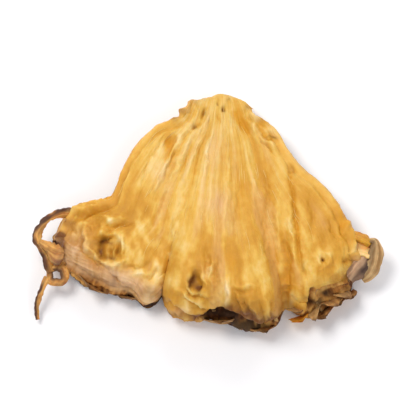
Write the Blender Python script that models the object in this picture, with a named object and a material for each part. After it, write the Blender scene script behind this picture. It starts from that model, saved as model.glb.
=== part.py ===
"""Dried pineapple quarter: a quarter of a slice, dried with its rind on, lying on a table with its face up.

The flesh has shrunk to a thin, pleated fan that domes up from the core's tip to the rind. The rind has kept the
thickness that the slice was cut to, so it stands as a low wall under the fan's wide end. Everything is one grown
piece: the fan, its rind, the dry scales of the fruit's eyes and the curled ribbons of skin are fused into one solid.

Lengths are in metres. A place on the fan is an angle about its tip, in degrees from the middle line and negative
to the left, and a share of the way from the tip to the rim. Tables hold (place, value) pairs that smooth_through
reads as a smooth curve; their lengths are in millimetres.
"""

import bmesh
import bpy
import numpy as np

MM = 0.001
NAME = "dried_pineapple_quarter"

# --- Overall size ---------------------------------------------------------------------------------------------
SLICE_RADIUS = 52.0 * MM  # from the tip of the core to the rim, before the swells of the rim
MIDDLE_X = 2.75 * MM  # where the fan's middle line lies, so that the origin is under the middle of the piece
TIP_Y = 28.2 * MM  # where the tip lies, for the same reason

# --- Fineness of the mesh -------------------------------------------------------------------------------------
COLUMNS = 68
FLESH_ROWS = 18
WEDGE_ROWS = 3
RIM_ROWS = 3
WALL_ROWS = 5

# --- Outline of the fan: (share of the radius, angle) for each cut side ---------------------------------------
LEFT_SIDE = (
    (0.06, 54),
    (0.15, 57.6),
    (0.24, 58.4),
    (0.32, 60.2),
    (0.40, 57),
    (0.50, 52.8),
    (0.60, 48.2),
    (0.66, 45.0),
    (0.715, 43.4),
    (0.745, 45.4),
    (0.768, 47.3),
    (0.79, 49.2),
    (0.82, 50.2),
    (0.86, 50.2),
    (0.94, 49.0),
    (1.0, 47.6),
)
RIGHT_SIDE = (
    (0.06, 52.6),
    (0.15, 53.8),
    (0.26, 56.2),
    (0.33, 53),
    (0.39, 48.8),
    (0.46, 45.4),
    (0.54, 44.6),
    (0.62, 45.3),
    (0.71, 44.5),
    (0.79, 42.7),
    (0.85, 41.4),
    (0.90, 40.7),
    (0.94, 39.3),
    (0.97, 38.5),
    (1.0, 38.5),
)
TIP_HALF_WIDTH = 5.5 * MM  # the tip of the core is blunt
TIP_TURN = 38.0  # degrees by which its rounded end turns to each side
TIP_END = 0.24  # share of the radius by which the tip has become the fan

# --- The rim, along its angle ---------------------------------------------------------------------------------
RIM_SWELL = (
    (-46, -1.8),
    (-42, 0.0),
    (-37, 0.2),
    (-28, -0.4),
    (-22, -1.2),
    (-17.5, 0.6),
    (-13, 0.2),
    (-7, 0.2),
    (-1, -0.4),
    (3, 1.0),
    (8, 3.0),
    (13, 2.8),
    (17, 0.2),
    (19.5, 1.2),
    (25, 0.8),
    (33, 0.4),
    (37, -1.4),
    (40, -3.6),
)
RIM_RISE = (
    (-46, -1.4),
    (-38, 0.2),
    (-24, 0.4),
    (-17, 0.0),
    (-11, 3.6),
    (-3, 4.8),
    (7, 5.0),
    (13, 3.6),
    (18, 1.4),
    (26, 2.0),
    (35, 1.2),
    (42, -0.4),
)
RIM_ROUND = (
    (-46, 1.6),
    (-40, 3.2),
    (-31, 4.6),
    (-21, 4.4),
    (-15, 3.6),
    (-10, 4.4),
    (0, 6.0),
    (9, 5.4),
    (17, 3.0),
    (24, 3.8),
    (32, 3.2),
    (38, 2.0),
    (42, 1.4),
)
RIND_LEAN = (
    (-46, 0.6),
    (-36, 0.7),
    (-20, 0.2),
    (-10, 0.2),
    (2, 0.4),
    (12, 0.2),
    (20, 2.0),
    (30, 1.6),
    (38, 1.2),
    (42, 0.8),
)
FOOT_RISE = (
    (-46, 1.0),
    (-41, -0.6),
    (-34, -0.6),
    (-26, 1.1),
    (-17, 0.6),
    (-12, -0.5),
    (-7, -0.5),
    (0, 1.0),
    (6, -0.5),
    (12, -0.5),
    (19, 1.2),
    (28, -0.6),
    (34, -0.6),
    (42, 1.2),
)

# --- Creases that run in from the rim: angle, width in degrees, notch in the rim, depth, where they start -----
CREASES = (
    (-15.2, 1.6, 4.6 * MM, 2.8 * MM, 0.72),
    (16.2, 2.0, 1.8 * MM, 1.8 * MM, 0.42),
    (34.5, 1.6, 1.0 * MM, 1.0 * MM, 0.80),
)

# --- Hollows in the face: angle, share of the radius, half length, half width, depth --------------------------
HOLLOWS = (
    (-33.5, 0.87, 2.8 * MM, 2.4 * MM, 1.1 * MM),  # an eye's pocket in the left lobe
    (-6.3, 0.915, 2.4 * MM, 1.0 * MM, 1.8 * MM),  # the slit in the middle lobe
    (30.0, 0.87, 1.0 * MM, 0.9 * MM, 0.6 * MM),
    (-41.0, 0.32, 2.4 * MM, 1.1 * MM, 1.0 * MM),
    (46.0, 0.32, 2.4 * MM, 0.9 * MM, 0.9 * MM),
    (39.0, 0.49, 1.4 * MM, 0.8 * MM, 0.8 * MM),
)

# --- Heights along the fan, at a share of the radius ----------------------------------------------------------
FAN_HEIGHT = (
    (0.0, 4.6),
    (0.02, 5.8),
    (0.06, 6.6),
    (0.12, 7.2),
    (0.2, 7.7),
    (0.35, 8.6),
    (0.55, 9.8),
    (0.75, 10.0),
    (0.9, 9.4),
    (1.0, 8.6),
)
FLESH_THICKNESS = ((0.0, 7.0), (0.08, 8.0), (0.14, 7.4), (0.28, 3.6), (0.50, 2.3), (0.85, 2.5), (1.0, 3.0))
SIDE_ROLL = 3.2 * MM  # how far the cut sides curl down
SIDE_ROLL_WIDTH = 4.6 * MM
SIDE_THIN = 0.45  # share of the thickness that is left at the cut edges
SIDE_THIN_WIDTH = 1.4 * MM
RIND_WALL = 2.6 * MM
RIND_WEDGE = 7.5 * MM  # how far in from the rim the flesh thickens
PLEAT_DEPTH = 0.36 * MM
PLEATS = (9.3, 14.6, 23.0)  # pleats across the fan, in three sets of falling depth

# --- Eyes of the rind that the slice was cut through: angle, half width in degrees ----------------------------
EYES = ((-31.0, 13.0), (-1.0, 12.0), (26.0, 9.0))
EYE_SWELL = 1.3 * MM

# --- Dry scales on the rind: angle, height of the root, length, half width, then in degrees its lean, how far it
# curls out along its length, and how far it is turned sideways ------------------------------------------------
SCALES = {
    "bract_left": (-33.0, 1.0, 5.0, 3.6, 12, 14, 12),
    "bract_left_low": (-23.5, 0.8, 4.0, 3.0, 16, 20, -16),
    "bract_middle": (1.0, 1.0, 5.8, 4.0, 8, 16, -6),
    "bract_middle_right": (9.0, 0.8, 4.8, 3.2, 14, 20, 14),
    "flake_1": (19.4, 1.0, 4.0, 2.6, 24, 18, -16),
    "flake_2": (23.6, 0.8, 4.6, 3.2, 26, 20, 4),
    "flake_3": (27.4, 2.2, 4.2, 2.8, 22, 22, 8),
    "flake_4": (30.6, 1.0, 3.4, 2.6, 22, 22, 16),
}
SCALE_BLUNTNESS = 3.2  # power with which a scale narrows towards its end
SCALE_THICKNESS = 0.8 * MM
SCALE_SINK = 0.55 * MM  # how deep a scale's root lies in the rind
SCALE_CUP = 0.20  # how far a scale's edges bend back, as a share of its half width

# --- Strips of dry skin and rolled flesh: (x, y, z, tilt in degrees, half width, half thickness), from the tip and
# the middle line in millimetres -------------------------------------------------------------------------------
STRIPS = {
    "skin_loop": (
        (-31.8, -29.6, 5.6, 30, 0.8, 0.5),
        (-33.6, -28.9, 6.3, 45, 0.9, 0.5),
        (-35.8, -29.4, 6.8, 50, 0.85, 0.4),
        (-38.2, -31.0, 7.0, 60, 0.75, 0.35),
        (-40.2, -33.2, 6.8, 70, 0.8, 0.35),
        (-40.6, -35.2, 6.4, 70, 1.0, 0.35),
        (-39.4, -37.6, 5.9, 60, 0.95, 0.4),
        (-38.2, -40.2, 5.2, 50, 0.95, 0.45),
        (-37.4, -42.2, 4.4, 50, 0.9, 0.5),
    ),
    "skin_web": (
        (-40.2, -35.6, 6.4, 80, 1.1, 0.4),
        (-38.6, -36.8, 6.1, 85, 1.5, 0.4),
        (-36.8, -37.8, 5.7, 85, 2.0, 0.4),
        (-34.6, -38.4, 5.3, 80, 2.3, 0.5),
    ),
    "skin_hook": (
        (-38.0, -43.6, 4.4, 60, 0.8, 0.5),
        (-39.0, -45.4, 4.0, 70, 0.75, 0.4),
        (-40.0, -47.8, 3.2, 70, 0.7, 0.35),
        (-40.6, -50.0, 2.3, 60, 0.65, 0.3),
        (-40.3, -52.4, 1.5, 50, 0.45, 0.25),
    ),
    "rind_curl": (
        (31.4, -44.2, 5.0, -50, 0.9, 0.5),
        (32.6, -43.4, 5.4, -58, 1.3, 0.45),
        (33.6, -42.2, 5.9, -64, 1.6, 0.45),
        (34.2, -40.8, 6.4, -68, 1.8, 0.4),
        (34.5, -39.2, 6.9, -66, 1.8, 0.4),
        (34.6, -37.6, 7.3, -60, 1.6, 0.4),
        (34.2, -36.2, 7.7, -50, 1.2, 0.5),
        (33.0, -36.0, 7.6, -40, 0.8, 0.5),
    ),
    "flesh_lip": (
        (27.0, -32.8, 6.6, 30, 1.0, 0.9),
        (28.8, -34.5, 7.6, 40, 1.4, 1.1),
        (30.4, -35.2, 8.0, 50, 1.5, 1.1),
        (31.9, -35.9, 8.0, 50, 1.4, 1.0),
        (33.2, -36.9, 7.6, 40, 0.8, 0.7),
    ),
    "curl_flesh": (
        (27.6, -36.0, 7.2, 80, 2.2, 0.8),
        (30.2, -37.2, 7.3, 80, 2.4, 0.7),
        (33.4, -38.0, 7.0, 75, 2.2, 0.5),
    ),
    "rind_web": (
        (32.6, -38.2, 6.9, 80, 1.3, 0.5),
        (31.3, -40.4, 6.7, 80, 2.0, 0.6),
        (29.9, -42.2, 6.3, 78, 2.2, 0.6),
        (28.2, -44.0, 5.6, 72, 1.7, 0.6),
    ),
    "ear_roll": (
        (-24.0, -29.6, 6.2, 30, 1.0, 0.9),
        (-26.6, -28.6, 5.9, 30, 1.2, 1.0),
        (-29.4, -29.0, 5.6, 30, 1.1, 1.0),
        (-31.6, -30.0, 5.6, 30, 1.1, 1.0),
        (-33.2, -32.8, 5.4, 30, 0.9, 0.9),
    ),
}
RING = (-36.2, -43.0, 4.4, 1.6, 1.0, 0.65)  # the loop's end ring: x, y, z, radius, half width, half thickness

FLESH_COLOUR = (0.78, 0.50, 0.13, 1.0)
FLESH_ROUGHNESS = 0.55


def smooth_through(pairs, place):
    """Reads a smooth curve through (place, value) pairs."""
    places, values = np.array(pairs, float).T
    slopes = np.gradient(values, places)
    place = np.clip(place, places[0], places[-1])
    low = np.clip(np.searchsorted(places, place, side="right") - 1, 0, len(places) - 2)
    span = places[low + 1] - places[low]
    t = (place - places[low]) / span
    start = values[low] * (1 + 2 * t) * (1 - t) ** 2 + span * slopes[low] * t * (1 - t) ** 2
    end = values[low + 1] * t * t * (3 - 2 * t) - span * slopes[low + 1] * t * t * (1 - t)
    return start + end


def ease(low, high, value):
    """Rises smoothly from 0 at low to 1 at high."""
    t = np.clip((value - low) / (high - low), 0, 1)
    return t * t * (3 - 2 * t)


def sides_at(share):
    """Angles of the left and the right cut side."""
    return -smooth_through(LEFT_SIDE, share), smooth_through(RIGHT_SIDE, share)


def angle_at(across, share):
    """Angle of the fibre that starts a share of the way across the fan. Only the outer fibres follow the sides."""
    left, right = sides_at(share)
    left_rim, right_rim = sides_at(1.0)
    spread = 1 + 4 * ease(0.12, 0.5, share)
    straight = left_rim + (right_rim - left_rim) * across
    return straight + (left - left_rim) * (1 - across) ** spread + (right - right_rim) * across**spread


def crease_shape(angle, share, size):
    """How deep the creases are; size is the column of CREASES that holds a full crease's measure."""
    total = 0.0
    for crease in CREASES:
        across_it = np.exp(-(np.abs(angle - crease[0]) / crease[1]) ** 1.5)
        total = total + crease[size] * across_it * ease(crease[4], 1.0, share)
    return total


def rim_radius(across):
    """Radius of the rind's top edge."""
    angle = angle_at(across, 1.0)
    return SLICE_RADIUS + smooth_through(RIM_SWELL, angle) * MM - crease_shape(angle, 1.0, 2)


def side_distance(across, share):
    """Distance from the nearer cut side."""
    angle = angle_at(across, share)
    left, right = sides_at(share)
    return np.radians(np.minimum(angle - left, right - angle)) * share * SLICE_RADIUS


def fan_height(across, share):
    """Height of the fan's upper face above the table."""
    angle = angle_at(across, share)
    height = smooth_through(FAN_HEIGHT, share) * MM
    height = height + smooth_through(RIM_RISE, angle) * MM * ease(0.35, 0.9, share)
    height = height - crease_shape(angle, share, 3)
    rolled = np.clip(1 - side_distance(across, share) / SIDE_ROLL_WIDTH, 0, 1)
    height = height - SIDE_ROLL * ease(0.05, 0.3, share) * (1 - np.sqrt(1 - 0.98 * rolled**2))
    for order, count in enumerate(PLEATS):
        wave = np.cos(2 * np.pi * (count * across + 0.37 * order) + (2 - order) * share)
        height = height + PLEAT_DEPTH * 0.7**order * wave * ease(0.0, 0.2, share) * ease(1.0, 0.75, share)
    for middle, out, half_length, half_width, depth in HOLLOWS:
        along = (share - out) * SLICE_RADIUS / half_length
        sideways = np.radians(angle - middle) * share * SLICE_RADIUS / half_width
        height = height - depth * np.exp(-(along**2) - sideways**2)
    return height


def foot_height(across):
    """Height of the rind's lower edge, which rests on the table at a few feet."""
    return np.maximum(smooth_through(FOOT_RISE, angle_at(across, 1.0)), 0) * MM


def eye_relief(angle, down):
    """How far the rind swells out at each eye, down its wall."""
    total = 0.0
    for middle, half_width in EYES:
        across_it = np.sqrt(np.clip(1 - ((angle - middle) / half_width) ** 2, 0, 1))
        total = total + EYE_SWELL * across_it
    return total * np.sin(np.pi * np.clip(down, 0, 0.97)) ** 0.7


def wall_outside(across, down):
    """Radius of the rind's outside, a share of the way down its wall."""
    angle = angle_at(across, 1.0)
    return rim_radius(across) + smooth_through(RIND_LEAN, angle) * MM * down + eye_relief(angle, down)


def outer_chain(across):
    """Radius and height from the tip over the face and the rim, and down the rind's outside."""
    rim = rim_radius(across)
    rounding = smooth_through(RIM_ROUND, angle_at(across, 1.0)) * MM
    turn = rim - rounding
    wedge = rim - RIND_WEDGE
    flesh_radius = wedge * np.linspace(0, 1, FLESH_ROWS)[None, :]
    wedge_radius = wedge + (turn - wedge) * np.linspace(0, 1, WEDGE_ROWS + 1)[None, 1:]
    flesh_radius = np.concatenate([flesh_radius, wedge_radius], axis=1)
    flesh_height = fan_height(across, flesh_radius / rim)
    turned = np.linspace(0, np.pi / 2, RIM_ROWS + 1)[None, 1:]
    rim_height = flesh_height[:, -1:]
    round_radius = turn + rounding * np.sin(turned)
    round_height = rim_height - rounding * (1 - np.cos(turned))
    down = np.linspace(0, 1, WALL_ROWS + 1)[None, 1:]
    foot = foot_height(across)
    wall_radius = wall_outside(across, down)
    wall_height = foot + (rim_height - rounding - foot) * (1 - down)
    return (
        np.concatenate([flesh_radius, round_radius, wall_radius], axis=1),
        np.concatenate([flesh_height, round_height, wall_height], axis=1),
    )


def inner_chain(across):
    """Radius and height from the tip along the underside, and down the rind's inside."""
    rim = rim_radius(across)
    wedge = rim - RIND_WEDGE
    flesh_radius = wedge * np.linspace(0, 1, FLESH_ROWS)[None, :]
    share = flesh_radius / rim
    thickness = smooth_through(FLESH_THICKNESS, share) * MM
    from_side = np.clip(side_distance(across, share) / SIDE_THIN_WIDTH, 0, 1)
    thinned = (1 - SIDE_THIN) * (1 - np.sqrt(from_side * (2 - from_side))) * ease(0.05, 0.2, share)
    thickness = thickness * (1 - thinned)
    flesh_height = np.maximum(fan_height(across, share) - thickness, 0)
    turned = np.linspace(0, np.pi / 2, WEDGE_ROWS + RIM_ROWS + 1)[None, 1:]
    foot = foot_height(across)
    drop = 0.5 * (flesh_height[:, -1:] - foot)
    round_radius = wedge + (RIND_WEDGE - RIND_WALL) * np.sin(turned)
    round_height = flesh_height[:, -1:] - drop * (1 - np.cos(turned))
    down = np.linspace(0, 1, WALL_ROWS + 1)[None, 1:]
    lean = smooth_through(RIND_LEAN, angle_at(across, 1.0)) * MM
    wall_radius = rim - RIND_WALL + lean * down
    wall_height = foot + drop * (1 - down)
    return (
        np.concatenate([flesh_radius, round_radius, wall_radius], axis=1),
        np.concatenate([flesh_height, round_height, wall_height], axis=1),
    )


def placed(across, radius, height):
    """Points in space for a radius and height on each fibre. The fan's lines start from the core's blunt tip."""
    share = np.minimum(radius / rim_radius(across), 1.0)
    angle = np.radians(angle_at(across, share))
    fan = np.stack([radius * np.sin(angle), -radius * np.cos(angle)], axis=-1)
    turn = np.radians(TIP_TURN)
    round_tip = turn * (2 * across - 1)
    tip_radius = TIP_HALF_WIDTH / np.sin(turn)
    tip = tip_radius * np.stack([np.sin(round_tip) + 0 * radius, np.cos(round_tip) - 1 + 0 * radius], axis=-1)
    flat = fan + tip * (1 - ease(0.0, TIP_END, share))[..., None]
    return np.concatenate([flat + (MIDDLE_X, TIP_Y), height[..., None]], axis=-1)


def fan_mesh():
    """The fan with its rind, as one closed mesh."""
    across = np.linspace(0, 1, COLUMNS)[:, None]
    outer = placed(across, *outer_chain(across))
    inner = placed(across, *inner_chain(across))
    ring = np.concatenate([outer, inner[:, ::-1]], axis=1)
    return swept_mesh(NAME, ring)


def swept_mesh(name, rings, joined=False):
    """A closed mesh through a row of rings. The ends are closed with ladders of faces, or joined to each other."""
    count, rows = rings.shape[:2]
    faces = []
    for column in range(count if joined else count - 1):
        for row in range(rows):
            a, b = column * rows, (column + 1) % count * rows
            across_row = (row + 1) % rows
            faces.append((a + row, a + across_row, b + across_row, b + row))
    if not joined:
        last = (count - 1) * rows
        for row in range(rows // 2 - 1):
            mate, next_mate = rows - 1 - row, rows - 2 - row
            faces.append((row, mate, next_mate, row + 1))
            faces.append((last + row, last + row + 1, last + next_mate, last + mate))
    mesh = bpy.data.meshes.new(name)
    mesh.from_pydata(rings.reshape(-1, 3).tolist(), [], faces)
    close_up(mesh)
    return mesh


def close_up(mesh):
    """Merges doubled points and turns the faces outwards."""
    bm = bmesh.new()
    bm.from_mesh(mesh)
    bmesh.ops.remove_doubles(bm, verts=bm.verts, dist=0.01 * MM)
    bmesh.ops.recalc_face_normals(bm, faces=bm.faces)
    bm.to_mesh(mesh)
    bm.free()


def strip(name, points, steps=14, sides=8):
    """A flat strip along a smooth curve, tilted and narrowed along its way."""
    knots = np.array(points, float)
    place = np.linspace(0, len(knots) - 1, steps)
    track = np.array([smooth_through(list(enumerate(column)), place) for column in knots.T]).T
    middle = track[:, :3] * MM + (MIDDLE_X, TIP_Y, 0)
    along = np.gradient(middle, axis=0)
    along /= np.linalg.norm(along, axis=1)[:, None]
    sideways = np.cross(along, (0, 0, 1))
    sideways /= np.linalg.norm(sideways, axis=1)[:, None]
    upright = np.cross(sideways, along)
    tilt = np.radians(track[:, 3:4])
    wide = upright * np.cos(tilt) + sideways * np.sin(tilt)
    thin = np.cross(wide, along)
    turn = np.linspace(0, 2 * np.pi, sides, endpoint=False)[None, :, None]
    half_width, half_thickness = track[:, 4] * MM, track[:, 5] * MM
    rings = (
        middle[:, None]
        + np.cos(turn) * (wide * half_width[:, None])[:, None]
        + np.sin(turn) * (thin * half_thickness[:, None])[:, None]
    )
    return swept_mesh(name, rings)


def scale(name, angle, root, length, half_width, lean, curl, turn, steps=6, points=5):
    """A dry, pointed scale that grows up the rind and curls outwards."""
    along = np.linspace(0, 1, steps)[:, None]
    beside = np.linspace(-1, 1, points)[None, :]
    bend = np.radians(lean + curl * along)
    out = length * np.cumsum(np.sin(bend), axis=0) / steps
    up = length * np.cumsum(np.cos(bend), axis=0) / steps
    width = half_width * (1 - along**SCALE_BLUNTNESS) ** 0.6 + 0.15
    side = width * beside
    out = out - SCALE_CUP * width * beside**2
    thick = SCALE_THICKNESS / MM * (1 - 0.5 * along) * (1 - 0.6 * beside**2)
    shells = []
    for face in (0.5, -0.5):
        shells.append(np.stack([out + face * thick * np.cos(bend), side, up - face * thick * np.sin(bend)], axis=-1))
    ring = np.concatenate([shells[0], shells[1][:, ::-1]], axis=1) * MM
    turned, heading = np.radians(turn), np.radians(angle)
    side = ring[..., 1] * np.cos(turned) + ring[..., 2] * np.sin(turned)
    up = ring[..., 2] * np.cos(turned) - ring[..., 1] * np.sin(turned)
    left_rim, right_rim = sides_at(1.0)
    across = np.array([[(angle - left_rim) / (right_rim - left_rim)]])
    radius = wall_outside(across, 0.75)[0, 0] - SCALE_SINK + ring[..., 0]
    x = radius * np.sin(heading) + side * np.cos(heading)
    y = -radius * np.cos(heading) + side * np.sin(heading)
    rings = np.stack([x + MIDDLE_X, y + TIP_Y, np.maximum(up + root * MM, 0.3 * MM)], axis=-1)
    return swept_mesh(name, rings)


def skin_ring(name, x, y, z, radius, half_width, half_thickness, steps=12, sides=8):
    """A small closed ring of skin, lying flat."""
    around = np.linspace(0, 2 * np.pi, steps, endpoint=False)[:, None]
    turn = np.linspace(0, 2 * np.pi, sides, endpoint=False)[None, :]
    out = radius + half_width * np.cos(turn)
    height = half_thickness * np.sin(turn) + 0 * around
    rings = np.stack([x + out * np.cos(around), y + out * np.sin(around), z + height], axis=-1)
    return swept_mesh(name, rings * MM + (MIDDLE_X, TIP_Y, 0), joined=True)


def fused(body, extras):
    """Joins the extra shapes to the body in one solid."""
    collection = bpy.data.collections.new("grown_on")
    bpy.context.scene.collection.children.link(collection)
    for mesh in extras:
        collection.objects.link(bpy.data.objects.new(mesh.name, mesh))
    join = body.modifiers.new("join", "BOOLEAN")
    join.operation = "UNION"
    join.operand_type = "COLLECTION"
    join.collection = collection
    join.solver = "EXACT"
    graph = bpy.context.evaluated_depsgraph_get()
    mesh = bpy.data.meshes.new_from_object(body.evaluated_get(graph))
    body.modifiers.clear()
    body.data = mesh
    for obj in list(collection.objects):
        bpy.data.objects.remove(obj)
    bpy.data.collections.remove(collection)


def flesh_material():
    """Dried flesh, golden and dull."""
    material = bpy.data.materials.new("dried_flesh")
    material.use_nodes = True
    shader = material.node_tree.nodes["Principled BSDF"]
    shader.inputs["Base Color"].default_value = FLESH_COLOUR
    shader.inputs["Roughness"].default_value = FLESH_ROUGHNESS
    shader.inputs["Metallic"].default_value = 0.0
    return material


def main():
    """Builds the quarter as one solid."""
    for obj in list(bpy.data.objects):
        bpy.data.objects.remove(obj)
    body = bpy.data.objects.new(NAME, fan_mesh())
    bpy.context.scene.collection.objects.link(body)
    extras = [strip(name, points) for name, points in STRIPS.items()]
    extras += [scale(name, *shape) for name, shape in SCALES.items()]
    extras.append(skin_ring("skin_ring", *RING))
    fused(body, extras)
    body.data.materials.clear()
    body.data.materials.append(flesh_material())


main()
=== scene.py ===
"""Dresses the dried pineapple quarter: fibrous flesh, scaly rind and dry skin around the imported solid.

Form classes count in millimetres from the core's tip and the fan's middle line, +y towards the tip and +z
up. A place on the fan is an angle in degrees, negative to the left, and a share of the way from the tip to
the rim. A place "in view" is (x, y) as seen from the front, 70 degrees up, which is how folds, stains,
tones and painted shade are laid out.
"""

import logging
import math
from dataclasses import dataclass
from enum import Enum
from functools import cached_property

import bmesh
import bpy
import numpy as np
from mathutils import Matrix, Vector


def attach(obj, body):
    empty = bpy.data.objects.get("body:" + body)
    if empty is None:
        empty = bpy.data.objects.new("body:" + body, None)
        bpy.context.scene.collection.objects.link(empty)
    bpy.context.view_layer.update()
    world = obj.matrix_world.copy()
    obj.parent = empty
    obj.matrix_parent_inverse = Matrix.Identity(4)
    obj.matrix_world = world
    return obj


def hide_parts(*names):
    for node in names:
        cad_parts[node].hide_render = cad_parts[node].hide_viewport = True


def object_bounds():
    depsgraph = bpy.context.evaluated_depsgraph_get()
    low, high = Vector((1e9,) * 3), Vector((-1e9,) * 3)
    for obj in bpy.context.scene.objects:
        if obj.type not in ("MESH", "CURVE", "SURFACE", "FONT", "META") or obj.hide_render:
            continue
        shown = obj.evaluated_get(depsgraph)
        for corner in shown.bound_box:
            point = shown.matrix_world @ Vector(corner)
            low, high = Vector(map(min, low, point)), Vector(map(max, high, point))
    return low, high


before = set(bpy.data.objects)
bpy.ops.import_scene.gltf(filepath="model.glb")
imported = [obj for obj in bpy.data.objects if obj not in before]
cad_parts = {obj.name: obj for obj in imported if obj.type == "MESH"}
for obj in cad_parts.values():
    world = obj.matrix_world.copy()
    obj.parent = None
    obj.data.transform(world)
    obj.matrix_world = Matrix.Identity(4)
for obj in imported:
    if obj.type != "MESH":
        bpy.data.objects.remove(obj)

CAD_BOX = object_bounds()
NODE = "dried_pineapple_quarter"
BODY = "root"
LOG = logging.getLogger("dried_pineapple")

MM = 0.001
VIEW_UP = math.radians(70)  # how far above the table the places in view are seen from
UV_SIZE = 50.0  # millimetres along a fibre that make up one unit of the UV map
ROUND_UV = 12.0  # the same for a way round a strip, in radians
NOISE_VALUES = 8192
NOISE_PRIMES = (73856093, 19349663, 83492791)
NOISE_SEED_STEP = 7919
NOISE_MIX = 1274126177
FAR = 1e6
TINY = 1e-9

Array = np.ndarray
Pairs = tuple[tuple[float, float], ...]
Shade = tuple[int, int, int]
Paint = tuple[float, float, float, float]
Node = bpy.types.Node
Socket = bpy.types.NodeSocket
Sockets = bpy.types.bpy_prop_collection
Piece = bpy.types.Object
Material = bpy.types.Material
Mesh = bpy.types.Mesh
Tree = bpy.types.NodeTree


# --- Small tools for shapes ---


@dataclass(frozen=True)
class Profile:
    """A smooth curve through (place, value) pairs."""

    pairs: Pairs

    def __call__(self, place: Array | float) -> Array:
        """Reads the curve.

        Args:
            place: Where to read it; beyond its ends the curve stays level.

        Returns:
            The values at those places.
        """
        places, values = np.array(self.pairs, float).T
        slopes = np.gradient(values, places)
        place = np.clip(place, places[0], places[-1])
        low = np.clip(np.searchsorted(places, place, side="right") - 1, 0, len(places) - 2)
        span = places[low + 1] - places[low]
        t = (place - places[low]) / span
        start = values[low] * (1 + 2 * t) * (1 - t) ** 2 + span * slopes[low] * t * (1 - t) ** 2
        end = values[low + 1] * t * t * (3 - 2 * t) - span * slopes[low + 1] * t * t * (1 - t)
        return start + end


def through(knots: Array, count: int) -> Array:
    """Reads a smooth line through knots.

    Args:
        knots: The knots, one a row.
        count: Number of points.

    Returns:
        The points, evenly read, one a row.
    """
    place = np.linspace(0, len(knots) - 1, count)
    return np.stack([Profile(tuple(enumerate(column)))(place) for column in knots.T], axis=1)


def ease(low: float, high: float, value: Array | float) -> Array:
    """Rises smoothly from 0 at low to 1 at high."""
    t = np.clip((value - low) / (high - low), 0, 1)
    return t * t * (3 - 2 * t)


def bell(away: Array) -> Array:
    """Falls smoothly from 1 at 0 towards 0."""
    return np.exp(-(away**2))


def arch(share: Array) -> Array:
    """Rises from 0 to 1 half way along and falls again."""
    return np.sin(np.pi * share)


@dataclass(frozen=True)
class Noise:
    """Smooth seeded noise from -1 to 1, with a grain of one unit."""

    seed: int

    def at(self, x: Array, y: Array, z: Array | float = 0.0) -> Array:
        """Reads the noise.

        Args:
            x: First coordinate.
            y: Second coordinate.
            z: Third coordinate.

        Returns:
            The noise at each place.
        """
        places = np.broadcast_arrays(np.asarray(x, float), y, z)
        cells = [np.floor(place).astype(np.int64) for place in places]
        parts = [place - cell for place, cell in zip(places, cells)]
        softs = [part**3 * (part * (part * 6 - 15) + 10) for part in parts]
        values = np.random.default_rng(self.seed).uniform(-1, 1, NOISE_VALUES)
        mean = np.zeros(places[0].shape)
        for corner in range(8):
            weight, mixed = 1.0, np.int64(self.seed * NOISE_SEED_STEP)
            for axis, prime in enumerate(NOISE_PRIMES):
                far = corner >> axis & 1
                weight = weight * (softs[axis] if far else 1 - softs[axis])
                mixed = mixed ^ ((cells[axis] + far) * prime)
            mixed = (mixed ^ (mixed >> 13)) * NOISE_MIX
            mean += weight * values[(mixed ^ (mixed >> 16)) & (NOISE_VALUES - 1)]
        return mean

    def layers(self, x: Array, y: Array, z: Array | float = 0.0, count: int = 3) -> Array:
        """Reads noise in a number of layers, each twice as fine and half as strong, with z alike in all."""
        parts = (self.at(x * 2**step + 17.3 * step, y * 2**step, z) / 2**step for step in range(count))
        return sum(parts, 0.0) / (2 - 0.5 ** (count - 1))

    def ridges(self, x: Array, y: Array, z: Array | float = 0.0, count: int = 2) -> Array:
        """Reads noise with sharp crests in a number of layers, likewise."""
        crests = ((1 - 2.4 * np.abs(self.at(x * 2**n + 9.1 * n, y * 2**n, z))) / 2**n for n in range(count))
        return sum(crests, 0.0) / (2 - 0.5 ** (count - 1))


@dataclass(frozen=True)
class Fold:
    """A crest or a valley along a smooth line in view.

    Its row is its width, its height, which is negative for a valley, and x and y of each point of the line.
    """

    row: tuple[float, ...]

    def relief(self, x: Array, y: Array) -> Array:
        """Works out the height that the fold adds, thinning out to both of its ends.

        Args:
            x: Places across the view.
            y: Places up the view.

        Returns:
            The height at each place.
        """
        width, height = self.row[:2]
        distance, share = self.distance(x, y, 4.5 * width)
        ends = np.clip(arch(np.clip(share, 0.02, 0.98)), 0, 1) ** 0.6
        away = distance / width
        return height * ends * np.exp(-(away**2 if height > 0 else away**1.2))

    def distance(self, x: Array, y: Array, reach: float) -> tuple[Array, Array]:
        """Measures how far places are from the line.

        Args:
            x: Places across the view.
            y: Places up the view.
            reach: Distance beyond which places aren't measured.

        Returns:
            The distance, and the share of the way along the line of the nearest point.
        """
        track = through(np.array(self.row[2:], float).reshape(-1, 2), 24)
        low, high = track.min(axis=0) - reach, track.max(axis=0) + reach
        near = (x > low[0]) & (x < high[0]) & (y > low[1]) & (y < high[1])
        px, py = x[near], y[near]
        best, along = np.full(px.shape, FAR), np.zeros(px.shape)
        for step, (a, b) in enumerate(zip(track[:-1], track[1:])):
            run = b - a
            t = np.clip(((px - a[0]) * run[0] + (py - a[1]) * run[1]) / (run @ run + 1e-12), 0, 1)
            gap = np.hypot(px - a[0] - t * run[0], py - a[1] - t * run[1])
            closer = gap < best
            best = np.where(closer, gap, best)
            along = np.where(closer, (step + t) / (len(track) - 1), along)
        distance, share = np.full(x.shape, FAR), np.zeros(x.shape)
        distance[near], share[near] = best, along
        return distance, share


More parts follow.
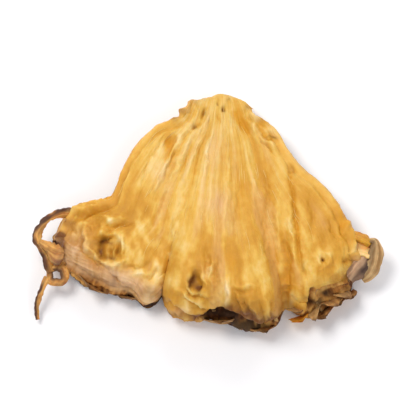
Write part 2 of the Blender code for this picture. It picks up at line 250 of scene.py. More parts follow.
@dataclass(frozen=True)
class Zones:
    """Soft ovals in view that add up, from rows of x, y, half width, half height and strength."""

    rows: tuple[tuple[float, ...], ...]

    def at(self, x: Array, y: Array) -> Array:
        """Adds up their strength.

        Args:
            x: Places across the view.
            y: Places up the view.

        Returns:
            The strength at each place.
        """
        strength = np.zeros(x.shape)
        for middle_x, middle_y, half_width, half_height, full in self.rows:
            across, up = (x - middle_x) / half_width, (y - middle_y) / half_height
            strength = strength + full * np.exp(-(across**2) - up**2)
        return strength


def link(name: str, data: bpy.types.ID) -> Piece:
    """Puts data into the scene as an object.

    Args:
        name: The object's name.
        data: A mesh, a lamp or a camera.

    Returns:
        The object.
    """
    piece = bpy.data.objects.new(name, data)
    bpy.context.scene.collection.objects.link(piece)
    return piece


def mesh_from(name: str, points: Array, faces: list[tuple[int, ...]]) -> Piece:
    """Makes a piece from points in millimetres.

    Args:
        name: The piece's name.
        points: The points, one a row.
        faces: Point numbers of each face.

    Returns:
        The new object, with smooth faces that point outwards.
    """
    mesh = bpy.data.meshes.new(name)
    mesh.from_pydata((points * MM).tolist(), [], faces)
    bm = bmesh.new()
    bm.from_mesh(mesh)
    bmesh.ops.recalc_face_normals(bm, faces=bm.faces)
    bm.to_mesh(mesh)
    bm.free()
    mesh.polygons.foreach_set("use_smooth", [True] * len(mesh.polygons))
    return link(name, mesh)


def paint(piece: Piece, marks: dict[str, Array]) -> None:
    """Writes values for each point as attributes that the finishes read.

    Args:
        piece: The piece.
        marks: The values, by the attribute's name.
    """
    for name, values in marks.items():
        attribute = piece.data.attributes.new(name, "FLOAT", "POINT")
        attribute.data.foreach_set("value", np.ascontiguousarray(values, np.float32).ravel())


def unwrap(piece: Piece, along: Array, across: Array) -> None:
    """Writes the UV map that the fibres of the finishes follow.

    Args:
        piece: The piece.
        along: V of each point, along the fibres.
        across: U of each point, across them.
    """
    layer = piece.data.uv_layers.new(name="fibre")
    corners = np.empty(len(piece.data.loops), np.int32)
    piece.data.loops.foreach_get("vertex_index", corners)
    pairs = np.stack([np.ravel(across)[corners], np.ravel(along)[corners]], axis=1)
    layer.data.foreach_set("uv", pairs.astype(np.float32).ravel())


def swept(name: str, rings: Array, joined: bool = False) -> Piece:
    """Makes a closed piece through a row of rings.

    Args:
        name: The piece's name.
        rings: The points, a ring for each step.
        joined: Whether the last ring joins the first.

    Returns:
        The piece. Ends that aren't joined are closed with a ladder of faces.
    """
    count, rows = rings.shape[:2]
    faces = []
    for step in range(count if joined else count - 1):
        for row in range(rows):
            a, b, after = step * rows, (step + 1) % count * rows, (row + 1) % rows
            faces.append((a + row, a + after, b + after, b + row))
    if not joined:
        last = (count - 1) * rows
        for row in range(rows // 2 - 1):
            mate, next_mate = rows - 1 - row, rows - 2 - row
            faces.append((row, mate, next_mate, row + 1))
            faces.append((last + row, last + row + 1, last + next_mate, last + mate))
    return mesh_from(name, rings.reshape(-1, 3), faces)


def fit(piece: Piece, material: Material) -> None:
    """Gives a piece its finish and ties it to the frame.

    Args:
        piece: The piece.
        material: Its finish.
    """
    piece.data.materials.clear()
    piece.data.materials.append(material)
    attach(piece, BODY)
    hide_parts(NODE)
    LOG.info("%s: %d faces", piece.name, len(piece.data.polygons))


# --- The form that the solid has too ---


@dataclass(frozen=True)
class FanForm:
    """The fan and its rind, as the solid has them."""

    slice_radius: float = 52.0
    middle_x: float = 2.75
    tip_y: float = 28.2
    view_level: float = 3.0
    left_side: Profile = Profile((
        (0.06, 54), (0.15, 57.6), (0.24, 58.4), (0.32, 60.2), (0.40, 57), (0.50, 52.8), (0.60, 48.2),
        (0.66, 45.0), (0.715, 43.4), (0.745, 45.4), (0.768, 47.3), (0.79, 49.2), (0.82, 50.2), (0.86, 50.2),
        (0.94, 49.0), (1.0, 47.6)))
    right_side: Profile = Profile((
        (0.06, 52.6), (0.15, 53.8), (0.26, 56.2), (0.33, 53), (0.39, 48.8), (0.46, 45.4), (0.54, 44.6),
        (0.62, 45.3), (0.71, 44.5), (0.79, 42.7), (0.85, 41.4), (0.90, 40.7), (0.94, 39.3), (0.97, 38.5),
        (1.0, 38.5)))
    tip_half_width: float = 5.5
    tip_turn: float = 38.0
    tip_end: float = 0.24
    rim_swell: Profile = Profile((
        (-46, -1.8), (-42, 0.0), (-37, 0.2), (-28, -0.4), (-22, -1.2), (-17.5, 0.6), (-13, 0.2),
        (-7, 0.2), (-1, -0.4), (3, 1.0), (8, 3.0), (13, 2.8), (17, 0.2), (19.5, 1.2), (25, 0.8), (33, 0.4),
        (37, -1.4), (40, -3.6)))
    rim_rise: Profile = Profile((
        (-46, -1.4), (-38, 0.2), (-24, 0.4), (-17, 0.0), (-11, 3.6), (-3, 4.8), (7, 5.0),
        (13, 3.6), (18, 1.4), (26, 2.0), (35, 1.2), (42, -0.4)))
    rim_round: Profile = Profile((
        (-46, 1.6), (-40, 3.2), (-31, 4.6), (-21, 4.4), (-15, 3.6), (-10, 4.4), (0, 6.0), (9, 5.4),
        (17, 3.0), (24, 3.8), (32, 3.2), (38, 2.0), (42, 1.4)))
    rind_lean: Profile = Profile((
        (-46, 0.6), (-36, 0.7), (-20, 0.2), (-10, 0.2), (2, 0.4), (12, 0.2), (20, 2.0),
        (30, 1.6), (38, 1.2), (42, 0.8)))
    foot_rise: Profile = Profile((
        (-46, 1.0), (-41, -0.6), (-34, -0.6), (-26, 1.1), (-17, 0.6), (-12, -0.5), (-7, -0.5),
        (0, 1.0), (6, -0.5), (12, -0.5), (19, 1.2), (28, -0.6), (34, -0.6), (42, 1.2)))
    # angle, width in degrees, notch in the rim, depth, share where it starts
    creases: tuple[tuple[float, ...], ...] = (
        (-15.2, 1.6, 4.6, 2.8, 0.72), (16.2, 2.0, 1.8, 1.8, 0.42), (34.5, 1.6, 1.0, 1.0, 0.80))
    # angle, share, half length, half width, depth
    hollows: tuple[tuple[float, ...], ...] = (
        (-33.5, 0.87, 2.8, 2.4, 0.6), (-6.3, 0.915, 2.4, 1.0, 0.9), (30.0, 0.87, 1.0, 0.9, 0.6),
        (-41.0, 0.32, 2.4, 1.1, 1.0), (46.0, 0.32, 2.4, 0.9, 0.9), (39.0, 0.49, 1.4, 0.8, 0.8))
    height: Profile = Profile((
        (0.0, 4.6), (0.02, 5.8), (0.06, 6.6), (0.12, 7.2), (0.20, 7.7), (0.35, 8.6), (0.55, 9.8),
        (0.75, 10.0), (0.9, 9.4), (1.0, 8.6)))
    thickness: Profile = Profile((
        (0.0, 7.0), (0.08, 8.0), (0.14, 7.4), (0.28, 3.6), (0.50, 2.3), (0.85, 2.5), (1.0, 3.0)))
    side_roll: float = 3.2
    side_roll_width: float = 4.6
    side_thin: float = 0.45
    side_thin_width: float = 1.4
    rind_wall: float = 2.6
    rind_wedge: float = 7.5
    eyes: Pairs = ((-31.0, 13.0), (-1.0, 12.0), (26.0, 9.0))
    eye_swell: float = 1.3

    def sides_at(self, share: Array | float) -> tuple[Array, Array]:
        """Angles of the left and the right cut side."""
        return -self.left_side(share), self.right_side(share)

    def angle_at(self, across: Array, share: Array | float) -> Array:
        """Finds the angle of the fibre that starts a share of the way across the fan.

        Args:
            across: 0 at the left cut side to 1 at the right.
            share: Share of the way from the tip to the rim.

        Returns:
            The angle in degrees. Only the outer fibres follow the sides.
        """
        left, right = self.sides_at(share)
        left_rim, right_rim = self.sides_at(1.0)
        spread = 1 + 4 * ease(0.12, 0.5, share)
        straight = left_rim + (right_rim - left_rim) * across
        return straight + (left - left_rim) * (1 - across) ** spread + (right - right_rim) * across**spread

    def crease_shape(self, angle: Array, share: Array | float, column: int) -> Array:
        """Adds up the creases.

        Args:
            angle: Angles in degrees.
            share: Share of the way from the tip to the rim.
            column: Which of a crease's full measures counts, 2 for its notch or 3 for its depth.

        Returns:
            How deep they are at each place.
        """
        depth = 0.0
        for crease in self.creases:
            across_it = np.exp(-((np.abs(angle - crease[0]) / crease[1]) ** 1.5))
            depth = depth + crease[column] * across_it * ease(crease[4], 1.0, share)
        return depth

    def rim_radius(self, across: Array) -> Array:
        """Radius of the rind's top edge."""
        angle = self.angle_at(across, 1.0)
        return self.slice_radius + self.rim_swell(angle) - self.crease_shape(angle, 1.0, 2)

    def side_distance(self, across: Array, share: Array) -> Array:
        """Measures how far places are from the nearer cut side.

        Args:
            across: Share of the way across the fan.
            share: Share of the way from the tip to the rim.

        Returns:
            The distances.
        """
        angle = self.angle_at(across, share)
        left, right = self.sides_at(share)
        return np.radians(np.minimum(angle - left, right - angle)) * share * self.slice_radius

    def fan_height(self, across: Array, share: Array) -> Array:
        """Finds the height of the fan's upper face above the table.

        Args:
            across: Share of the way across the fan.
            share: Share of the way from the tip to the rim.

        Returns:
            The heights.
        """
        angle = self.angle_at(across, share)
        height = self.height(share) + self.rim_rise(angle) * ease(0.35, 0.9, share)
        height = height - self.crease_shape(angle, share, 3)
        rolled = np.clip(1 - self.side_distance(across, share) / self.side_roll_width, 0, 1)
        height = height - self.side_roll * ease(0.05, 0.3, share) * (1 - np.sqrt(1 - 0.98 * rolled**2))
        for middle, out, half_length, half_width, depth in self.hollows:
            along = (share - out) * self.slice_radius / half_length
            sideways = np.radians(angle - middle) * share * self.slice_radius / half_width
            height = height - depth * np.exp(-(along**2) - sideways**2)
        return height

    def foot_height(self, across: Array) -> Array:
        """Height of the rind's lower edge."""
        return np.maximum(self.foot_rise(self.angle_at(across, 1.0)), 0)

    def wall_outside(self, across: Array, down: Array | float) -> Array:
        """Finds the rind's outside, with the swell of its eyes.

        Args:
            across: Share of the way across the fan.
            down: Share of the way down the wall.

        Returns:
            The radii.
        """
        angle = self.angle_at(across, 1.0)
        swell = 0.0
        for middle, half_width in self.eyes:
            swell = swell + self.eye_swell * np.sqrt(np.clip(1 - ((angle - middle) / half_width) ** 2, 0, 1))
        swell = swell * arch(np.clip(down, 0, 0.97)) ** 0.7
        return self.rim_radius(across) + self.rind_lean(angle) * down + swell

    def outer_chain(self, across: Array, flesh: int, rim_rows: int, wall: int) -> tuple[Array, Array]:
        """Follows the face and the rim outwards, and the rind's outside down.

        Args:
            across: Share of the way across, one column of values.
            flesh: Points on the face.
            rim_rows: Steps round the rim.
            wall: Steps down the rind.

        Returns:
            Radius and height of each point.
        """
        rim = self.rim_radius(across)
        rounding = self.rim_round(self.angle_at(across, 1.0))
        turn = rim - rounding
        flesh_radius = turn * np.linspace(0, 1, flesh)[None, :]
        flesh_height = self.fan_height(across, flesh_radius / rim)
        turned = np.linspace(0, np.pi / 2, rim_rows + 1)[None, 1:]
        rim_height = flesh_height[:, -1:]
        down = np.linspace(0, 1, wall + 1)[None, 1:]
        foot = self.foot_height(across)
        wall_height = foot + (rim_height - rounding - foot) * (1 - down)
        radius = [flesh_radius, turn + rounding * np.sin(turned), self.wall_outside(across, down)]
        height = [flesh_height, rim_height - rounding * (1 - np.cos(turned)), wall_height]
        return np.concatenate(radius, axis=1), np.concatenate(height, axis=1)

    def inner_chain(self, across: Array, flesh: int, rim_rows: int, wall: int) -> tuple[Array, Array]:
        """Follows the underside outwards and the rind's inside down.

        Args:
            across: Share of the way across, one column of values.
            flesh: Points on the underside.
            rim_rows: Steps round the corner under the rim.
            wall: Steps down the rind.

        Returns:
            Radius and height of each point.
        """
        rim = self.rim_radius(across)
        wedge = rim - self.rind_wedge
        flesh_radius = wedge * np.linspace(0, 1, flesh)[None, :]
        share = flesh_radius / rim
        from_side = np.clip(self.side_distance(across, share) / self.side_thin_width, 0, 1)
        thinned = (1 - self.side_thin) * (1 - np.sqrt(from_side * (2 - from_side))) * ease(0.05, 0.2, share)
        flesh_height = np.maximum(self.fan_height(across, share) - self.thickness(share) * (1 - thinned), 0)
        turned = np.linspace(0, np.pi / 2, rim_rows + 1)[None, 1:]
        foot = self.foot_height(across)
        drop = 0.5 * (flesh_height[:, -1:] - foot)
        down = np.linspace(0, 1, wall + 1)[None, 1:]
        lean = self.rind_lean(self.angle_at(across, 1.0))
        corner = wedge + (self.rind_wedge - self.rind_wall) * np.sin(turned)
        radius = [flesh_radius, corner, rim - self.rind_wall + lean * down]
        height = [flesh_height, flesh_height[:, -1:] - drop * (1 - np.cos(turned)), foot + drop * (1 - down)]
        return np.concatenate(radius, axis=1), np.concatenate(height, axis=1)

    def placed(self, across: Array, radius: Array, height: Array) -> Array:
        """Finds points in space.

        Args:
            across: Share of the way across the fan, one column of values.
            radius: Distance from the tip along each fibre.
            height: Height above the table.

        Returns:
            The points; the fibres start side by side along the blunt tip.
        """
        share = np.minimum(radius / self.rim_radius(across), 1.0)
        angle = np.radians(self.angle_at(across, share))
        fan = np.stack([radius * np.sin(angle), -radius * np.cos(angle)], axis=-1)
        turn = math.radians(self.tip_turn)
        round_tip = turn * (2 * across - 1) + 0 * radius
        tip = np.stack([np.sin(round_tip), np.cos(round_tip) - 1], axis=-1)
        tip = self.tip_half_width / math.sin(turn) * tip
        flat = fan + tip * (1 - ease(0.0, self.tip_end, share))[..., None]
        return np.concatenate([flat + (self.middle_x, self.tip_y), height[..., None]], axis=-1)

    def in_view(self, points: Array) -> tuple[Array, Array]:
        """Where points are in view."""
        x, y = points[..., 0] - self.middle_x, points[..., 1] - self.tip_y
        return x, y * math.sin(VIEW_UP) + (points[..., 2] - self.view_level) * math.cos(VIEW_UP)


FORM = FanForm()


# --- Relief and marks of the flesh ---


@dataclass(frozen=True)
class Places:
    """Where the points of the body's form lie.

    The fields are the share of the way across (one column of values), the points, the share of the way from
    the tip to the rim, the way past the edge of the face, and 1 on the underside.
    """

    across: Array
    ring: Array
    share: Array
    beyond: Array
    under: Array

    @cached_property
    def view(self) -> tuple[Array, Array]:
        """Their places in view."""
        return FORM.in_view(self.ring)

    @cached_property
    def angle(self) -> Array:
        """Their angles at the rim."""
        return FORM.angle_at(self.across, 1.0) + 0 * self.share

    @cached_property
    def side(self) -> Array:
        """Their distances from the nearer cut side."""
        return FORM.side_distance(self.across, np.clip(self.share, 0, 1))

    def lumps(self, seed: int, grain: float) -> Array:
        """Layered noise in space, with a grain in millimetres."""
        x, y, z = np.moveaxis(self.ring, -1, 0)
        return Noise(seed).layers(x / grain, y / grain, z / grain, 3)

    def blots(self, seed: int, wide: float, high: float, cut: float = 0.0, count: int = 2) -> Array:
        """Layered noise in view, with a grain of a width and height; cut says which section is read."""
        x, y = self.view
        return Noise(seed).layers(x / wide, y / high, cut, count)


@dataclass(frozen=True)
class Marks:
    """Where the rind, the tones, the stains and the rind's painted shade are; the tones, stains and beige
    carry painted highlights and painted shade as well.
    """

    # Pale places are positive and amber ones negative. Some pale ones are painted highlights, on the ridges
    # beside the tip, at the middle of the face and on the left lobe, and two paint light into shaded places:
    # below the slit and in the crease by the right lobe
    tone_and_painted_light_zones: Zones = Zones((
        (-6.6, -9.5, 2.4, 4.5, 0.5), (-13, -18, 3, 4.5, 0.55), (1.6, -7.5, 1.2, 3, 0.5),
        (-2.4, -11, 1.6, 3, 0.4), (-1, -23.5, 2.6, 5, 0.8), (0, -3, 8, 5, 0.45), (-9, -22, 4, 6, 0.3),
        (-18.3, -29.5, 1.3, 2.6, 0.5), (-17, -39.2, 2.4, 0.8, 0.9), (-20.3, -34.5, 1.2, 2, 0.5),
        (-24.4, -27.2, 1.6, 0.7, 0.6), (-26.4, -30.6, 0.6, 0.9, 0.9), (-22.4, -32, 1.2, 1.2, 0.9),
        (-29.6, -29.6, 0.9, 1.4, 0.6), (-7.8, -33.8, 1.4, 3, 1.2), (-2.9, -39.2, 0.9, 2, 1.2),
        (8.8, -36.4, 2.4, 3.4, 0.4), (1.6, -43.6, 0.9, 1.8, 0.9), (13.2, -37, 1, 5, 0.4),
        (22.9, -35.8, 1.6, 1.6, 0.8), (30.2, -34, 1.8, 0.8, 1.2), (12.2, -10.8, 1, 0.5, 0.7),
        (-9.2, -10, 0.7, 2.4, 0.9), (25.4, -38.6, 1, 0.6, 0.4), (19.8, -40.6, 1, 0.6, 0.5),
        (15.8, -34, 0.5, 4, 0.5), (-4.6, -44, 1.6, 0.5, 0.8), (-9.5, -40, 1.6, 3, 1.5),
        (15.4, -45.6, 1.6, 2.8, 1.6), (-28, -36.4, 1.8, 1.2, 1), (30.3, -34.4, 1, 1, 0.5),
        (-11.2, -11, 1.2, 3, -0.7), (5.2, -6, 1.5, 2.8, -0.9), (-20, -15, 2, 8, -0.4),
        (8.6, -18, 3, 8, -0.55), (3, -36, 5, 4, -0.35), (-22, -23, 3.6, 6, -0.9), (-16, -28, 3, 6, -0.3),
        (3, -37.5, 1.8, 4, -0.7), (-22.4, -28.8, 2.4, 0.7, -1.1), (-28, -26, 3.4, 0.9, -0.7),
        (-27, -28.2, 2.2, 1.4, 0.6), (22, -31.4, 2, 2.4, -0.5), (25, -27, 1.6, 2.6, -0.5),
        (16.9, -30, 0.6, 6, -0.2), (14.6, -30, 1.6, 6, 0.3), (27.6, -29, 0.8, 2.8, -1.2),
        (-18.6, -38, 1.8, 0.5, -0.9), (-6, -45.8, 3, 1.6, 1.2), (7.5, -46, 4.2, 3.4, -0.9),
        (-10, -14, 5, 7, 0.5), (29, -36.4, 1.6, 1, -0.7), (15, -37, 0.6, 3, -0.8),
        (-0.2, -34.5, 0.6, 4, -0.4), (-30, -31, 3, 3, -0.4), (-5.4, -3.2, 1.8, 2.4, -0.5),
        (-3, -38.6, 1.2, 1.8, 0.8), (-28.2, -36.2, 1.4, 1, 0.8), (10.6, -8.2, 1.6, 1, 0.6),
        (9.4, -6.6, 1, 0.8, -0.6),
    ))
    # Clear, deep amber places
    amber_zones: Zones = Zones((
        (4.4, -4.2, 1, 2.2, 1.5), (5.9, -7.2, 1, 1.6, 0.7), (-11.4, -10, 1, 2.4, 0.7),
        (26.9, -28.2, 0.9, 3.2, 1), (9.5, -6.6, 1.2, 1.1, 1.3), (2.3, -37.4, 1.1, 3.8, 1),
        (-5.8, -4.2, 0.8, 0.9, 0.5), (-10.4, -5.8, 0.9, 0.7, 0.6), (-12.2, -12.8, 0.8, 1.4, 0.4),
        (-19.8, -20, 0.8, 4, 0.4), (10.6, -8.4, 1.4, 0.4, 0.6), (14.6, -38, 0.5, 4, 0.4),
    ))
    # Brown places, and painted shade in the slit, the pocket of the left lobe, the pits by the tip, the small
    # hole in the right lobe and the notch
    stain_and_shade_zones: Zones = Zones((
        (-6.3, -41.2, 0.55, 1.2, 1.4), (-4.7, -42.5, 0.6, 0.9, 1.6), (-5.5, -40.2, 0.6, 1.6, 0.8),
        (-25.6, -32.5, 2.2, 0.6, 0.85), (-26.2, -34.8, 0.5, 1.6, 0.7), (-24.3, -36.1, 1, 0.5, 0.6),
        (-22.6, -34.8, 0.5, 1, 0.4), (-24.8, -34.2, 2.2, 2.2, 0.3), (22.8, -36.1, 0.4, 0.45, 1.3),
        (0.8, -2.5, 0.45, 0.65, 0.9), (-0.5, -1.2, 0.3, 0.4, 0.6), (1.9, -0.6, 0.5, 0.3, 0.6),
        (16.3, -17, 0.35, 1.2, 0.35), (-8.2, -3.2, 1.2, 0.8, 0.5), (-10.2, -5, 1.2, 0.7, 0.6),
        (-6, -1.4, 1.6, 0.7, 0.4), (9.2, -5.6, 1.5, 0.9, 0.5), (11.6, -9.3, 1.2, 0.25, 0.7),
        (-3.7, -3.2, 0.5, 0.9, 0.5), (-5.4, -6.7, 0.7, 0.5, 0.5), (6.6, -2.4, 1.2, 0.9, 0.45),
        (5, -47.2, 2.6, 2.2, 0.45), (6.8, -49.2, 2.4, 1.8, 0.75), (-9.8, -48.6, 2.2, 0.5, 0.4),
        (-6, -49.2, 3, 0.6, 0.45), (11.4, -49.9, 2.2, 1.1, 0.9), (-4, -48.7, 2.2, 0.5, 1.2),
        (-12.7, -44.4, 0.4, 1.3, 1.5), (15.2, -48.6, 1.2, 0.3, 0.6), (-23.3, -40.4, 1.2, 1.1, 0.6),
        (-36.2, -30.6, 0.9, 0.8, 1.4), (-35.8, -33.8, 1.1, 2.2, 0.9), (-32.8, -33.6, 2.4, 2.4, 0.22),
        (-34.4, -28, 0.6, 0.5, 0.8), (17.9, -37.8, 0.5, 1.2, 0.4), (-16.2, -43.8, 2.8, 1.2, 0.5),
        (-25.2, -42, 2.2, 0.8, 0.4), (-20.6, -42.4, 1.6, 0.7, 0.3), (29.3, -40.4, 1.4, 0.6, 0.6),
        (8.6, -3.6, 0.6, 0.5, 0.6), (-3.4, -0.4, 0.5, 0.4, 0.4), (32.2, -39.4, 0.6, 1.6, 1.8),
        (-33, -28.4, 1.2, 0.5, 0.5), (18.8, -44.6, 0.8, 0.6, 0.5),
    ))
    # Greyish, pinkish beige places; the zone at the middle of the face is a painted highlight
    beige_and_highlight_zones: Zones = Zones((
        (-32.5, -34, 3.2, 4, 1), (-29, -38.5, 3.5, 1.6, 0.7), (-22, -40.4, 4, 1.6, 0.6),
        (-15.5, -42.4, 3, 1.2, 0.3), (-9, -47.6, 1.8, 1, 0.6), (30.6, -38.4, 1.4, 2.2, 1.3),
        (21.6, -43.2, 1.2, 0.5, 0.6), (5.5, -49.4, 1.6, 1.2, 0.7), (-1, -24, 2, 3.4, 0.7),
        (-0.6, -12, 2.4, 5, 0.3), (17, -48.2, 1.6, 1, 0.5), (-13, -18, 2.4, 3, 0.35),
        (1.7, -43.6, 0.8, 1.6, 0.4), (-3, -38.8, 1, 2, 0.45),
    ))
    # Almost black painted shade where the rind lies in shadow: under the overhanging lip of the middle lobe,
    # in the notch, along the lower rim and by the right lobe's flakes
    rind_shade_zones: Zones = Zones((
        (-2.4, -49.2, 2.8, 0.7, 1), (1.8, -48.4, 2, 1.1, 1.8), (5, -51.6, 4.2, 0.8, 1.6),
        (3, -50.2, 1.6, 1.2, 1), (23.3, -44, 1.2, 0.7, 1), (21.2, -46.2, 2, 0.9, 0.9),
        (25.4, -44.4, 1.4, 0.4, 0.5), (29, -43.2, 0.9, 0.6, 0.6), (-19, -45, 6, 0.6, 0.7),
        (-27, -43.8, 2, 0.7, 0.8), (8.4, -51.6, 2, 0.5, 0.7), (-13.9, -46.2, 0.8, 0.6, 1),
    ))
    # Way from the edge of the face to where the rind takes over from the flesh, at an angle
    rind_start: Profile = Profile((
        (-46, 4), (-38, 6.8), (-30, 7.9), (-20, 7.8), (-16, 7.2), (-13, 11), (-9, 15), (-6.8, 14),
        (-5.6, 11.6), (-4, 10.6), (-2.2, 10.5), (-0.6, 9.5), (0.8, 8.5), (2.2, 8.1), (3.6, 8.3),
        (4.8, 9.2), (6.2, 9.9), (8, 10), (10, 10.6), (12.5, 10), (15, 10.6), (17.5, 12), (20, 8.4),
        (21.5, 3.9), (25, 4.4), (29, 5.2), (32, 5), (36, 3.7), (40, 2.8)))
    edge_width: float = 1.3

    def start(self, at: Places) -> Array:
        """How far past the edge of the face the rind starts, a little unevenly."""
        return self.rind_start(at.angle) + (0.8 + 0.8 * ease(18.0, 21.0, at.angle)) * at.lumps(11, 2.2)

    def read(self, at: Places) -> dict[str, Array]:
        """Works out the marks.

        Args:
            at: The places.

        Returns:
            A value from 0 to 1 for each point, by the mark's name.
        """
        rough, start = at.lumps(11, 2.2), self.start(at)
        left_lobe = ease(-14.0, -17.0, at.angle)
        rind = ease(-1.0, 1.0, (at.beyond - start) / (0.35 + 0.6 * left_lobe)) * (1 - at.under)
        side = at.side + 0.5 * rough
        edge = np.exp(-np.clip(side, 0, 50) / self.edge_width) * ease(0.02, 0.12, at.share)
        x, y = at.view
        view = x + 0.6 * at.blots(12, 1.6, 1.6), y + 0.6 * at.blots(13, 1.6, 1.6)
        ashen = ease(0.1, 0.5, Noise(16).layers(at.across * 22, at.share * 3.4, 4.0, 3))
        beige = self.beige_and_highlight_zones.at(*view) + 0.75 * left_lobe * ease(0.5, 4.5, at.beyond + 1.5 * rough)
        beige = beige + 0.28 * ashen * ease(1.0, 4.0, side)
        middle_lobe = ease(-8.0, -3.0, at.angle) * ease(14.0, 8.0, at.angle)
        scorch = ease(-3.6, 0.2, at.beyond - start) * (0.2 + 0.7 * middle_lobe)
        # Darker towards the table on the left lobe's rind; it adds to the stains and to the rind's painted
        # shade
        foot = left_lobe * ease(3.0, 1.2, at.ring[..., 2] + 1.4 * rough) * ease(2.0, 5.0, at.beyond)
        # Brown stains, with painted shade in the hollows that the zones cover
        stain_and_shade = self.stain_and_shade_zones.at(*view) + scorch * (0.7 + 1.2 * rough) + 0.8 * foot
        above = 1 - at.under
        return {
            "rind": np.maximum(rind, at.under * ease(0.955, 0.985, at.share)),
            "edge": edge,
            "tone": np.clip(0.5 + 0.5 * self.tone(at, view, left_lobe), 0, 1),
            "stain_and_shade": np.clip(stain_and_shade * above * (1 + 0.5 * rough), 0, 1),
            "beige": np.clip(beige * above, 0, 1),
            # Painted shade, near black, in the rind's recesses and along the left lobe's foot
            "rind_shade": np.clip((self.rind_shade_zones.at(*view) + foot) * above, 0, 1),
        }

    def tone(self, at: Places, view: tuple[Array, Array], left_lobe: Array) -> Array:
        """Works out how pale or amber the flesh is, painted highlights and painted light in shaded places
        included.

        Args:
            at: The places.
            view: The same in view, a little displaced.
            left_lobe: 1 on the left lobe.

        Returns:
            The tone, about -1 to 1.
        """
        tone = self.tone_and_painted_light_zones.at(*view) + 0.35 * at.blots(14, 5, 8, count=3)
        tone = tone + 0.7 * Noise(15).layers(at.across * 30, at.share * 3.0, 0.0, 3)
        tone = tone + ease(0.06, 0.0, at.share) * 1.2 * at.lumps(18, 2)
        mottled = (1.0 + 0.9 * left_lobe) * at.blots(17, 2.0, 3.2, count=3) - 0.42
        return tone + ease(0.45, 0.85, at.share) * mottled


@dataclass(frozen=True)
class Fibres:
    """One size of the flesh's fibres, which run down the fan."""

    seed: int
    count: float
    length: float
    cut: float

    def at(self, fibre_at: Array, radius: Array) -> Array:
        """Their crests, at a share of the way across and a radius."""
        return Noise(self.seed).ridges(fibre_at * self.count, radius / self.length, self.cut, 2)


